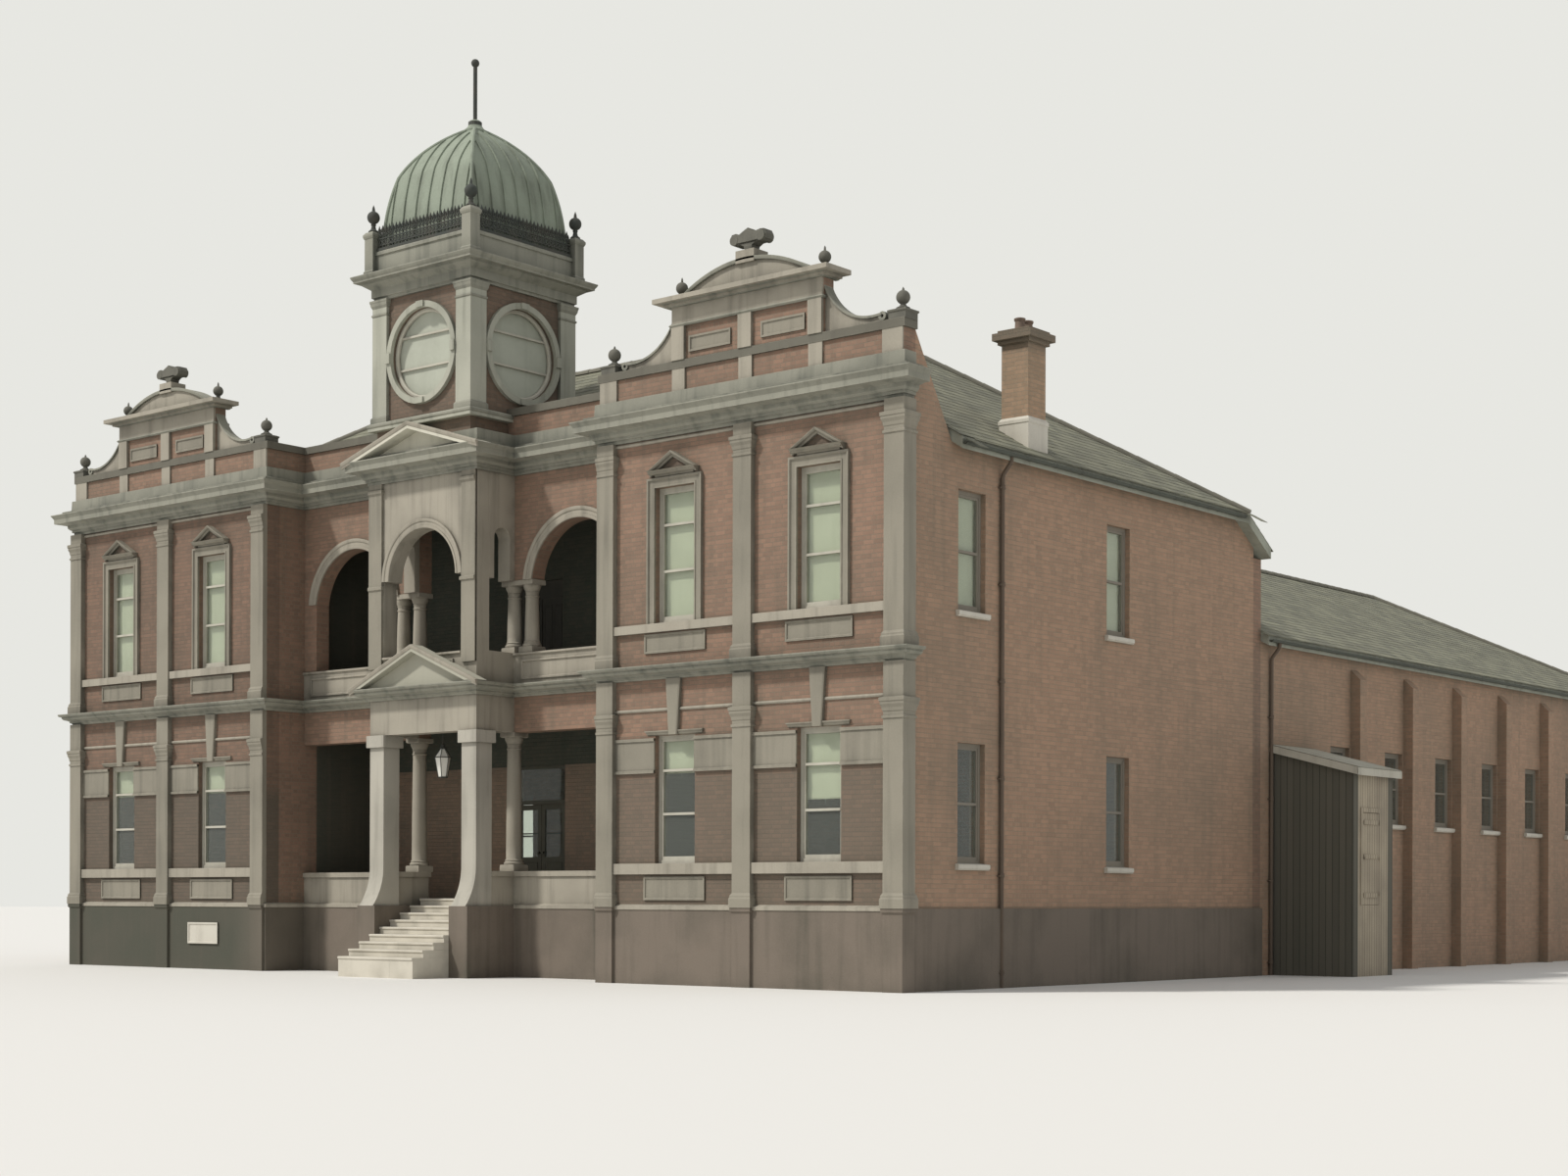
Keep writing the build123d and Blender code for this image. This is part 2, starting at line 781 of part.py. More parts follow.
# Stucco surrounds with small pediments upstairs and tall keystones downstairs
with BuildPart() as window_surrounds:
    half = window_width / 2
    for side in both:
        for x in window_x:
            centre = side * x
            outer = half + surround_width
            outline = [
                (centre - outer, upper_sill), (centre + outer, upper_sill),
                (centre + outer, upper_head + surround_width), (centre - outer, upper_head + surround_width),
            ]
            hole = upright(centre, upper_sill, upper_head, window_width)
            panel(front_plane(-surround_out), outline, surround_out, [hole])
            shelf = upper_head + surround_width
            shelf_top = shelf + shelf_height
            block((centre - shelf_half, centre + shelf_half), (-shelf_out, 0), (shelf, shelf_top))
            gable = [
                (centre - shelf_half + gable_inset, shelf_top),
                (centre + shelf_half - gable_inset, shelf_top),
                (centre, shelf_top + gable_rise),
            ]
            panel(front_plane(-gable_out), gable, gable_out)
            key = [
                (centre - key_foot_half, ground_head), (centre + key_foot_half, ground_head),
                (centre + key_head_half, string_bottom), (centre - key_head_half, string_bottom),
            ]
            panel(front_plane(-key_out), key, key_out)
            hood_top = ground_head + hood_height
            block((centre - hood_half, centre + hood_half), (-hood_out, 0), (ground_head, hood_top))
save(window_surrounds, "window_surrounds")

# Windows: every one as (plane of its outer face, centre, centre height, width, height)
windows = []
for side in both:
    for x, z, w, h in front_holes:
        windows.append((front_plane(frame_setback), side * x, z, w, h))
for y, z, w, h in side_holes:
    windows.append((side_plane(wall_half - frame_setback), y, z, w, h))
    windows.append((side_plane(-wall_half + frame_setback + frame_depth), y, z, w, h))
for x, z, w, h in rear_holes:
    windows.append((front_plane(main_depth - frame_setback - frame_depth), x, z, w, h))
hall_buttress_y = [hall_first_buttress + n * hall_bay for n in range(hall_bays)]
hall_holes = []
for y in hall_buttress_y:
    middle = y - buttress_width / 2 - hall_window_gap - hall_window_width / 2
    hall_holes.append(upright(middle, hall_window_sill, hall_window_head, hall_window_width))
for y, z, w, h in hall_holes:
    windows.append((side_plane(hall_right - frame_setback), y, z, w, h))
    windows.append((side_plane(hall_left + frame_setback + frame_depth), y, z, w, h))

with BuildPart() as window_frames:
    for plane, across, up, width, height in windows:
        with BuildSketch(plane) as face:
            with Locations((across, up)):
                Rectangle(width, height)
                Rectangle(width - 2 * frame_width, height - 2 * frame_width, mode=Mode.SUBTRACT)
        extrude(face.sketch, amount=-frame_depth)
save(window_frames, "window_frames")


def hinge_half(axis, plate_x, plate_y, bottom, top):
    """Half of a hinge's barrel with its plate."""
    with BuildSketch(Plane.XY.offset(bottom)) as barrel:
        with Locations(axis):
            Circle(hinge_radius)
    extrude(barrel.sketch, amount=top - bottom)
    block(plate_x, plate_y, (bottom, top))


def fixed_half(level):
    return (level, level + hinge_height / 2)


def moving_half(level):
    return (level + hinge_height / 2 + hinge_clearance, level + hinge_height)


def knob(plane, across, up):
    """A round door knob, on a plane that lies in the door's outer face."""
    with BuildSketch(plane) as rose:
        with Locations((across, up)):
            Circle(knob_radius)
    extrude(rose.sketch, amount=knob_out)


# Entrance doors: frame with a fanlight, two leaves that open inwards
leaf_y = loggia_back + door_setback
leaf_face = leaf_y + door_thickness
plate_y = (leaf_face, leaf_face + hinge_plate_thickness)
clear_half = door_half - door_frame
hinge_x = clear_half - door_gap / 2
transom_bottom = floor_top + door_height
fanlight_bottom = transom_bottom + door_transom
fanlight_top = door_head - door_frame
with BuildPart() as entrance_frame:
    outline = [
        (-door_half, floor_top), (door_half, floor_top),
        (door_half, door_head), (-door_half, door_head),
    ]
    holes = [
        upright(0, floor_top - 1, transom_bottom, 2 * clear_half),
        upright(0, fanlight_bottom, fanlight_top, 2 * clear_half),
    ]
    panel(front_plane(leaf_y - door_frame_proud), outline, door_thickness + door_frame_proud, holes)
    for side in both:
        axis = (side * hinge_x, leaf_face + hinge_offset)
        plate_x = (side * hinge_x, side * (hinge_x + hinge_plate))
        for level in hinge_levels:
            hinge_half(axis, plate_x, plate_y, *fixed_half(floor_top + level))
save(entrance_frame, "entrance_frame")
leaf_bottom = floor_top + door_gap
leaf_top = transom_bottom - door_gap
pane_bottom = floor_top + door_lock_rail
pane_top = leaf_top - door_stile - door_gap
for side, word in ((1, "right"), (-1, "left")):
    outer = side * (clear_half - door_gap)
    inner = side * meeting_gap / 2
    pane_x = (outer - side * door_stile, inner + side * door_stile)
    with BuildPart() as leaf:
        block((outer, inner), (leaf_y, leaf_face), (leaf_bottom, leaf_top))
        block(pane_x, (leaf_y, leaf_face), (pane_bottom, pane_top), mode=Mode.SUBTRACT)
        knob(front_plane(leaf_y), inner + side * knob_inset, floor_top + knob_height)
        axis = (side * hinge_x, leaf_face + hinge_offset)
        plate_x = (side * (hinge_x - hinge_plate), side * hinge_x)
        for level in hinge_levels:
            hinge_half(axis, plate_x, plate_y, *moving_half(floor_top + level))
    save(leaf, f"entrance_door_{word}")
    with BuildPart() as pane:
        pane_y = leaf_y + pane_inset
        block(pane_x, (pane_y, pane_y + glass_thickness), (pane_bottom, pane_top))
    save(pane, f"entrance_pane_{word}")

# Glass of the windows and of the fanlight over the entrance
with BuildPart() as window_glass:
    for plane, across, up, width, height in windows:
        with BuildSketch(plane.offset(-frame_depth / 2)) as face:
            with Locations((across, up)):
                Rectangle(width - 2 * frame_width, height - 2 * frame_width)
        extrude(face.sketch, amount=-glass_thickness)
    fanlight_y = (leaf_y + fanlight_inset, leaf_y + fanlight_inset + glass_thickness)
    block((-clear_half, clear_half), fanlight_y, (fanlight_bottom, fanlight_top))
save(window_glass, "window_glass")

# Fixed doors at the back of the loggia
with BuildPart() as loggia_doors:
    upper_door_y = loggia_back + door_setback
    block(
        (-upper_door_width / 2, upper_door_width / 2), (upper_door_y, upper_door_y + upper_door_thickness),
        (string_bottom, string_bottom + upper_door_height),
    )
save(loggia_doors, "loggia_doors")

# Pediments over the porch and over the loggia's centre arch
with BuildPart() as pediments:
    for base, rise, out in (
        (string_top, porch_gable_rise, string_layers[-1][2]),
        (cornice_bottom + cornice_lip[1], loggia_gable_rise, cornice_lip[2]),
    ):
        half = centre_half + out
        gable = [(-half, base), (half, base), (0, base + rise)]
        panel(front_plane(-out), gable, out)
        inner_rise = rise - gable_rake
        inner_half = half * inner_rise / rise
        tympanum = [(-inner_half, base), (inner_half, base), (0, base + inner_rise)]
        panel(front_plane(-out), tympanum, out - tympanum_out, mode=Mode.SUBTRACT)
    add(main_cornice.part, mode=Mode.SUBTRACT)
save(pediments, "pediments")

# Brick parapets on the front with the attic blocks over the pavilions, and their light copings
parapet_inside = wall_half - parapet_width
parapet_line = [
    (wall_half, wall), (wall_half, 0), (pavilion_inner, 0), (pavilion_inner, recess_depth),
    (tower_half, recess_depth), (tower_half, recess_depth + parapet_width),
    (pavilion_inner + parapet_width, recess_depth + parapet_width),
    (pavilion_inner + parapet_width, parapet_width), (parapet_inside, parapet_width), (parapet_inside, wall),
]
coping_line = [
    (wall_half + coping_out, wall), (wall_half + coping_out, -coping_out),
    (pavilion_inner - coping_out, -coping_out), (pavilion_inner - coping_out, recess_depth - coping_out),
    (tower_half, recess_depth - coping_out), (tower_half, recess_depth + parapet_width + coping_out),
    (pavilion_inner + parapet_width + coping_out, recess_depth + parapet_width + coping_out),
    (pavilion_inner + parapet_width + coping_out, parapet_width + coping_out),
    (parapet_inside - coping_out, parapet_width + coping_out), (parapet_inside - coping_out, wall),
]
with BuildPart() as parapet_walls:
    prism(parapet_line, cornice_top, parapet_top)
    prism(mirrored(parapet_line), cornice_top, parapet_top)
    for side in both:
        attic_x = (side * pilaster_x[1] - attic_half, side * pilaster_x[1] + attic_half)
        block(attic_x, (0, attic_thickness), (coping_top, attic_cornice))
save(parapet_walls, "parapet_walls")
with BuildPart() as parapet_copings:
    prism(coping_line, parapet_top, coping_top)
    prism(mirrored(coping_line), parapet_top, coping_top)
save(parapet_copings, "parapet_copings")

# Stucco on the attic blocks and parapets: piers, dies, cornice and a low curved top
with BuildPart() as attic_dressings:
    for side in both:
        centre = side * pilaster_x[1]
        across = (centre - attic_half, centre + attic_half)
        for n in (-1, 0, 1):
            x = centre + n * (attic_half - attic_pier / 2)
            pier_x = (x - attic_pier / 2, x + attic_pier / 2)
            block(pier_x, (-attic_pier_out, 0), (coping_top, attic_frieze))
            block(pier_x, (-parapet_die_out, 0), (cornice_top, parapet_top))
        for x in (side * (wall_half - parapet_die_half), side * (pavilion_inner + parapet_die_half)):
            die_x = (x - parapet_die_half, x + parapet_die_half)
            block(die_x, (-parapet_die_out, 0), (cornice_top, parapet_top))
        block(across, (-attic_frieze_out, 0), (attic_frieze, attic_cornice))
        for low, high, out in attic_layers:
            block(
                (centre - attic_half - out, centre + attic_half + out), (-out, attic_thickness + out / 2),
                (attic_cornice + low, attic_cornice + high),
            )
        with BuildSketch(front_plane(0)) as crest:
            with BuildLine():
                crest_half = attic_half - attic_crest_inset
                near = (centre - crest_half, attic_cap)
                far = (centre + crest_half, attic_cap)
                Line(near, far)
                ThreePointArc(far, (centre, attic_crest), near)
            make_face()
        extrude(crest.sketch, amount=-attic_thickness)
        block(
            (centre - attic_pedestal_half, centre + attic_pedestal_half),
            (-attic_pedestal_out, attic_thickness + attic_pedestal_out),
            (attic_crest - attic_pedestal_out, attic_pedestal_top),
        )
save(attic_dressings, "attic_dressings")

# Concave wings that sweep from the attic blocks down to the parapet ends
with BuildPart() as scroll_wings:
    for side in both:
        for turn in both:
            near = side * pilaster_x[1] + turn * attic_half
            far = near + turn * wing_length
            head = (near, coping_top + wing_head)
            waist = (near + turn * wing_waist[0], coping_top + wing_waist[1])
            foot = (far, coping_top + wing_foot)
            with BuildSketch(front_plane(wing_setback)) as wing:
                with BuildLine():
                    Line((near, coping_top), head)
                    ThreePointArc(head, waist, foot)
                    Line(foot, (far, coping_top))
                    Line((far, coping_top), (near, coping_top))
                make_face()
            extrude(wing.sketch, amount=-wing_thickness)
save(scroll_wings, "scroll_wings")


def finial(x, y, bottom, height, radius):
    """A ball on a short waisted stem with a spike."""
    with BuildSketch(Plane.XZ.offset(-y)) as half_section:
        with BuildLine():
            ball = bottom + height * 0.55
            ball_foot = (x + radius * 0.4, ball - radius * 0.9)
            ball_head = (x + radius * 0.2, ball + radius * 0.98)
            Polyline(
                (x, bottom), (x + radius, bottom), (x + radius, bottom + height * 0.1),
                (x + radius * 0.45, bottom + height * 0.2), ball_foot,
            )
            ThreePointArc(ball_foot, (x + radius, ball), ball_head)
            Polyline(ball_head, (x, bottom + height), (x, bottom))
        make_face()
    revolve(half_section.sketch, axis=Axis((x, y, 0), (0, 0, 1)))


# Ball finials on the parapet ends and the attic blocks, and the ornaments in the middle
with BuildPart() as finials:
    for side in both:
        for x in (pilaster_x[0], pilaster_x[2]):
            half, depth, height = end_pedestal
            block(
                (side * x - half, side * x + half), (finial_y - depth, finial_y + depth),
                (coping_top, coping_top + height),
            )
            finial(side * x, finial_y, coping_top + height, *end_finial)
        middle = side * pilaster_x[1]
        for turn in both:
            finial(middle + turn * (attic_half - attic_finial_inset), finial_y, attic_cap, *attic_finial)
        with BuildSketch(front_plane(ornament_front)) as scrolls:
            for x in (-ornament_spread, ornament_spread):
                with Locations((middle + x, attic_pedestal_top + ornament_height)):
                    Circle(ornament_scroll)
            with Locations((middle, attic_pedestal_top + ornament_body[1] / 2)):
                Rectangle(*ornament_body)
            with Locations((middle, attic_pedestal_top + ornament_head[0])):
                Circle(ornament_head[1])
        extrude(scrolls.sketch, amount=-ornament_depth)
save(finials, "finials")

# Tower: walls with a round opening on each face
tower_middle = tower_half
with BuildPart() as tower_front_rear_walls:
    block((-tower_half, tower_half), (0, wall), (cornice_top, tower_cornice_bottom))
    block((-tower_half, tower_half), (tower_size - wall, tower_size), (ceiling_top, tower_cornice_bottom))
    with BuildSketch(front_plane(0)) as eye:
        with Locations((0, clock_height)):
            Circle(clock_radius)
    extrude(eye.sketch, amount=-tower_size, mode=Mode.SUBTRACT)
save(tower_front_rear_walls, "tower_front_rear_walls")
with BuildPart() as tower_side_walls:
    outline = [
        (wall, cornice_top), (loggia_front_inside, cornice_top),
        (loggia_front_inside, ceiling_top), (tower_size - wall, ceiling_top),
        (tower_size - wall, tower_cornice_bottom), (wall, tower_cornice_bottom),
    ]
    panel(side_plane(tower_half), outline, wall)
    panel(side_plane(wall - tower_half), outline, wall)
    with BuildSketch(side_plane(tower_half)) as eye:
        with Locations((tower_middle, clock_height)):
            Circle(clock_radius)
    extrude(eye.sketch, amount=-tower_size, mode=Mode.SUBTRACT)
save(tower_side_walls, "tower_side_walls")

# The four upright planes of the tower's faces, looking outwards
tower_faces = []
for n in range(4):
    turned = Plane(origin=(0, tower_middle, 0)).rotated((0, 0, 90 * n))
    outwards = -turned.y_dir
    tower_faces.append(
        Plane(origin=Vector(0, tower_middle, 0) + outwards * tower_half, x_dir=turned.x_dir, z_dir=outwards)
    )


def tower_ring(out, bottom, top, inner_half):
    """A square band round the tower, from inner_half to out beyond its walls."""
    outer_half = tower_half + out
    block((-outer_half, outer_half), (tower_middle - outer_half, tower_middle + outer_half), (bottom, top))
    block(
        (-inner_half, inner_half), (tower_middle - inner_half, tower_middle + inner_half), (bottom, top),
        mode=Mode.SUBTRACT,
    )


# Tower dressings: base band and corner pilasters above the roof, and rings with keys round the openings
with BuildPart() as tower_dressings:
    tower_ring(tower_band_out, tower_base_top - tower_band, tower_base_top, tower_half)
    for side in both:
        for y in (0, tower_size):
            turn = 1 if y else -1
            inner = side * (tower_half - tower_pilaster)
            outer = side * (tower_half + tower_pilaster_out)
            level = (tower_base_top, tower_frieze)
            front = y + turn * tower_pilaster_out
            block((inner, outer), (y, front), level)
            block((side * tower_half, outer), (y - turn * tower_pilaster, front), level)
    for plane in tower_faces:
        with BuildSketch(plane) as ring:
            with Locations((0, clock_height)):
                Circle(clock_radius + clock_ring)
                Circle(clock_radius, mode=Mode.SUBTRACT)
        extrude(ring.sketch, amount=clock_ring_out)
        with BuildSketch(plane) as keys:
            with Locations((0, clock_height)):
                with PolarLocations(clock_radius + clock_ring / 2, 4):
                    Rectangle(clock_ring, clock_key)
        extrude(keys.sketch, amount=clock_key_out)
    behind_tower = tower_size + tower_pilaster
    under_roof = [
        (loggia_front_inside, ceiling_top), (behind_tower, ceiling_top),
        (behind_tower, roof_top(behind_tower)), (loggia_front_inside, roof_top(loggia_front_inside)),
    ]
    panel(side_plane(wall_half), under_roof, 2 * wall_half, mode=Mode.SUBTRACT)
    add(pediments.part, mode=Mode.SUBTRACT)
    add(parapet_walls.part, mode=Mode.SUBTRACT)
    add(parapet_copings.part, mode=Mode.SUBTRACT)
save(tower_dressings, "tower_dressings")

with BuildPart() as tower_cornice:
    tower_bed_top = tower_cornice_bottom + tower_bed_height
    tower_ring(tower_frieze_out, tower_frieze, tower_cornice_bottom, tower_half)
    tower_ring(tower_bed_out, tower_cornice_bottom, tower_bed_top, tower_half - wall)
    tower_ring(tower_lip, tower_bed_top, tower_cornice_top, tower_half - wall)
    attic_inner_half = tower_half + tower_attic_out - tower_attic_wall
    tower_ring(tower_attic_out, tower_cornice_top, tower_attic_top, attic_inner_half)
    pedestal_offset = attic_inner_half + tower_pedestal_half
    for side in both:
        for y in (tower_middle - pedestal_offset, tower_middle + pedestal_offset):
            x = side * pedestal_offset
            block(
                (x - tower_pedestal_half, x + tower_pedestal_half),
                (y - tower_pedestal_half, y + tower_pedestal_half), (tower_cornice_top, tower_pedestal_top),
            )
save(tower_cornice, "tower_cornice")

# Ironwork on the tower's parapet: a plate for the pierced cresting on each side, and balls on the corners
with BuildPart() as tower_cresting:
    cresting_end = pedestal_offset - tower_pedestal_half
    cresting_z = (tower_attic_top, tower_attic_top + cresting_rise)
    for turn in both:
        inner = turn * (pedestal_offset - cresting_thickness / 2)
        outer = turn * (pedestal_offset + cresting_thickness / 2)
        block((-cresting_end, cresting_end), (tower_middle + inner, tower_middle + outer), cresting_z)
        block((inner, outer), (tower_middle - cresting_end, tower_middle + cresting_end), cresting_z)
        for y in (tower_middle - pedestal_offset, tower_middle + pedestal_offset):
            finial(turn * pedestal_offset, y, tower_pedestal_top, *tower_ball)
save(tower_cresting, "tower_cresting")

with BuildPart() as tower_glass:
    for plane in tower_faces:
        with BuildSketch(plane.offset(-clock_setback)) as disc:
            with Locations((0, clock_height)):
                Circle(clock_radius - clock_clearance)
        extrude(disc.sketch, amount=-glass_thickness)
save(tower_glass, "tower_glass")


def dome_body(half, top):
    """Two crossing barrel shapes: their common part is a dome on a square."""
    height = top - dome_bottom
    shoulder = dome_bottom + height * dome_shoulder[1]
    cheek = (dome_bottom + shoulder) / 2 + dome_cheek[1]
    crown = dome_bottom + height * dome_crown[1]
    shapes = []
    for plane, middle in ((front_plane(tower_middle), 0), (side_plane(0), tower_middle)):
        with BuildPart(mode=Mode.PRIVATE) as barrel:
            with BuildSketch(plane) as section:
                with BuildLine():
                    Line((middle - half, dome_bottom), (middle + half, dome_bottom))
                    for turn in both:
                        side_half = turn * half
                        edge = (middle + side_half * dome_shoulder[0], shoulder)
                        cheek_point = (middle + side_half * dome_cheek[0], cheek)
                        crown_point = (middle + side_half * dome_crown[0], crown)
                        ThreePointArc((middle + side_half, dome_bottom), cheek_point, edge)
                        ThreePointArc(edge, crown_point, (middle, top))
                make_face()
            extrude(section.sketch, amount=half + dome_shell, both=True)
        shapes.append(barrel.part)
    return shapes[0] & shapes[1]


outer_dome = dome_body(dome_size / 2, dome_top)
inner_dome = dome_body(dome_size / 2 - dome_shell, dome_top - dome_shell)
with BuildPart() as tower_dome:
    add(outer_dome)
    add(inner_dome, mode=Mode.SUBTRACT)
    dome_half = dome_size / 2
    block(
        (-dome_half, dome_half), (tower_middle - dome_half, tower_middle + dome_half),
        (tower_cornice_top, dome_bottom),
    )
    inner_half = dome_half - dome_curb
    block(
        (-inner_half, inner_half), (tower_middle - inner_half, tower_middle + inner_half),
        (tower_cornice_top, dome_bottom), mode=Mode.SUBTRACT,
    )
save(tower_dome, "tower_dome")
with BuildPart() as flagpole:
    collar_radius, collar_height = flagpole_collar
    pole_bottom = dome_top + collar_height
    with Locations((0, tower_middle, dome_top + collar_height / 2)):
        Cylinder(collar_radius, collar_height)
    with Locations((0, tower_middle, (pole_bottom + flagpole_top) / 2)):
        Cylinder(flagpole_radius, flagpole_top - pole_bottom)
    with Locations((0, tower_middle, flagpole_top + flagpole_ball * 2 / 3)):
        Sphere(flagpole_ball)
save(flagpole, "flagpole")

# Main roof: a hipped shell, cut where walls, tower, chimneys and hall meet it
ridge_under = rear_underside(ridge_y)
beyond = 3000
under_eave = 800
past_inside = 50


def hip_body(lift, grow):
    """Everything under the roof planes, with the planes lifted straight up."""
    front_y = wall - grow
    rear_y = main_depth + eave_overhang + grow
    half = wall_half + eave_overhang + grow
    bottom = rear_eave - under_eave - grow
    with BuildPart(mode=Mode.PRIVATE) as body:
        outline = [
            (front_y, bottom), (rear_y, bottom), (rear_y, rear_underside(rear_y) + lift),
            (ridge_y, ridge_under + lift), (front_y, ridge_under + lift - (ridge_y - front_y) * roof_slope),
        ]
        panel(side_plane(half), outline, 2 * half)
        for side in both:
            run = (ridge_under - side_eave) / roof_slope
            top = side_eave + lift + (run + beyond) * roof_slope
            outside = half + beyond
            low = side_eave + lift - (outside - wall_half) * roof_slope
            away = [(side * (wall_half - run - beyond), top), (side * outside, low), (side * outside, top)]
            panel(front_plane(-beyond), away, main_depth + 2 * beyond, mode=Mode.SUBTRACT)
    return body.part


roof_outer = hip_body(roof_thickness, 0)
roof_inner = hip_body(0, past_inside)
with BuildPart() as main_roof:
    add(roof_outer)
    add(roof_inner, mode=Mode.SUBTRACT)
    tall = (rear_eave - under_eave - beyond, ridge_under + beyond)
    outside = wall_half + beyond
    half_chimney = chimney_width / 2
    for side in both:
        block((side * inside, side * outside), (-beyond, ramp_foot), tall, mode=Mode.SUBTRACT)
        shaft_y = (chimney_y - half_chimney, chimney_y + half_chimney)
        block((side * chimney_inner, side * chimney_outer), shaft_y, tall, mode=Mode.SUBTRACT)
    block((-return_inside, return_inside), (-beyond, loggia_front_inside), tall, mode=Mode.SUBTRACT)
    block((-tower_half, tower_half), (-beyond, tower_size), tall, mode=Mode.SUBTRACT)
    hall_roof_left = hall_left - hall_overhang - gutter
    block((hall_roof_left, outside), (main_depth, main_depth + beyond), tall, mode=Mode.SUBTRACT)
save(main_roof, "main_roof")

# Chimneys on the side walls
with BuildPart() as chimneys:
    half = chimney_width / 2
    shaft = (side_eave, chimney_top - chimney_layers[0][0])
    for side in both:
        block((side * chimney_inner, side * chimney_outer), (chimney_y - half, chimney_y + half), shaft)
        for low, high, out in chimney_layers:
            block(
                (side * (chimney_inner - out), side * (chimney_outer + out)),
                (chimney_y - half - out, chimney_y + half + out), (chimney_top - low, chimney_top - high),
            )
save(chimneys, "chimneys")

# Hall: walls down to the lowest ground, floor, buttresses and roof
with BuildPart() as hall_side_walls:
    outline = [
        (main_depth, 0), (hall_back - wall, 0), (hall_back - wall, hall_eave), (main_depth, hall_eave),
    ]
    panel(side_plane(hall_right), outline, wall, hall_holes)
    panel(side_plane(hall_left + wall), outline, wall, hall_holes)
save(hall_side_walls, "hall_side_walls")
with BuildPart() as hall_rear_wall:
    block((hall_left, hall_right), (hall_back - wall, hall_back), (0, hall_eave))
save(hall_rear_wall, "hall_rear_wall")
with BuildPart() as hall_buttresses:
    for y in hall_buttress_y:
        for side in both:
            face = hall_right if side > 0 else hall_left
            outline = [
                (face, 0), (face + side * buttress_depth, 0),
                (face + side * buttress_depth, buttress_top), (face, buttress_top + buttress_weathering),
            ]
            panel(front_plane(y - buttress_width / 2), outline, buttress_width)
save(hall_buttresses, "hall_buttresses")

hall_half = (hall_right - hall_left) / 2
hall_ridge_under = hall_eave + hall_half * hall_slope


def hall_roof_body(lift, grow):
    """Everything under the hall's roof planes, with the planes lifted straight up."""
    half = hall_half + hall_overhang + grow
    bottom = hall_eave - under_eave - grow
    low = hall_eave + lift - (half - hall_half) * hall_slope
    back = hall_back + hall_overhang + grow
    with BuildPart(mode=Mode.PRIVATE) as body:
        outline = [
            (hall_ridge_x - half, bottom), (hall_ridge_x + half, bottom), (hall_ridge_x + half, low),
            (hall_ridge_x, hall_ridge_under + lift), (hall_ridge_x - half, low),
        ]
        panel(front_plane(hall_roof_start - grow), outline, back - hall_roof_start + grow)
        far = back + beyond
        above = hall_ridge_under + lift + beyond * hall_slope
        away = [
            (hall_back - hall_half - beyond, above), (far, hall_eave + lift - (far - hall_back) * hall_slope),
            (far, above),
        ]
        panel(side_plane(hall_right + beyond), away, 2 * hall_half + 2 * beyond, mode=Mode.SUBTRACT)
    return body.part


hall_outer = hall_roof_body(roof_thickness, 0)
hall_inner = hall_roof_body(0, past_inside)
with BuildPart() as hall_roof:
    add(hall_outer)
    add(hall_inner, mode=Mode.SUBTRACT)
    well_inside = hall_roof_start - beyond
    main_roof_side = [
        (well_inside, 0), (main_depth, 0), (main_depth, rear_eave + roof_thickness),
        (well_inside, rear_eave + roof_thickness + (main_depth - well_inside) * roof_slope),
    ]
    panel(side_plane(hall_right + beyond), main_roof_side, 2 * hall_half + 2 * beyond, mode=Mode.SUBTRACT)
save(hall_roof, "hall_roof")

# Lean-to closet against the hall, with a door in its outer wall
lean_outer = hall_right + lean_to_width
lean_back = lean_to_front + lean_to_length
lean_slope = (lean_to_high - lean_to_low) / lean_to_width


def lean_top(x):
    return lean_to_high - (x - hall_right) * lean_slope


lean_door_y = (lean_to_front + lean_to_door_start, lean_to_front + lean_to_door_start + lean_to_door_width)
lean_inner = lean_outer - lean_to_wall
with BuildPart() as lean_to_end_walls:
    outline = [
        (hall_right, 0), (lean_outer, 0),
        (lean_outer, lean_top(lean_outer)), (hall_right, lean_top(hall_right)),
    ]
    panel(front_plane(lean_to_front), outline, lean_to_wall)
    panel(front_plane(lean_back - lean_to_wall), outline, lean_to_wall)
save(lean_to_end_walls, "lean_to_end_walls")
outer_wall_y = (lean_to_front + lean_to_wall, lean_back - lean_to_wall)
lean_door_top = hall_floor_top + lean_to_door_height
with BuildPart() as lean_to_outer_wall:
    x = (lean_inner, lean_outer)
    block(x, (outer_wall_y[0], lean_door_y[0]), (0, lean_to_low))
    block(x, (lean_door_y[1], outer_wall_y[1]), (0, lean_to_low))
    block(x, lean_door_y, (0, hall_floor_top))
    block(x, lean_door_y, (lean_door_top, lean_to_low))
    lean_axis = (lean_outer + hinge_offset, lean_door_y[1] - door_gap / 2)
    lean_plate_x = (lean_outer, lean_outer + hinge_plate_thickness)
    for level in hinge_levels:
        fixed_y = (lean_axis[1], lean_axis[1] + hinge_plate)
        hinge_half(lean_axis, lean_plate_x, fixed_y, *fixed_half(hall_floor_top + level))
save(lean_to_outer_wall, "lean_to_outer_wall")
with BuildPart() as hall_floors:
    hall_floor = (hall_floor_top - hall_floor_thickness, hall_floor_top)
    block((hall_left + wall, hall_right - wall), (main_depth, hall_back - wall), hall_floor)
    block((hall_right, lean_inner), outer_wall_y, (hall_floor_top - floor_thickness, hall_floor_top))
save(hall_floors, "hall_floors")
with BuildPart() as lean_to_roof:
    edge = lean_outer + lean_to_overhang
    outline = [
        (hall_right, lean_top(hall_right)), (edge, lean_top(edge)),
        (edge, lean_top(edge) + lean_to_roof_thickness),
        (hall_right, lean_top(hall_right) + lean_to_roof_thickness),
    ]
    panel(front_plane(lean_to_front - lean_to_verge), outline, lean_to_length + 2 * lean_to_verge)
save(lean_to_roof, "lean_to_roof")
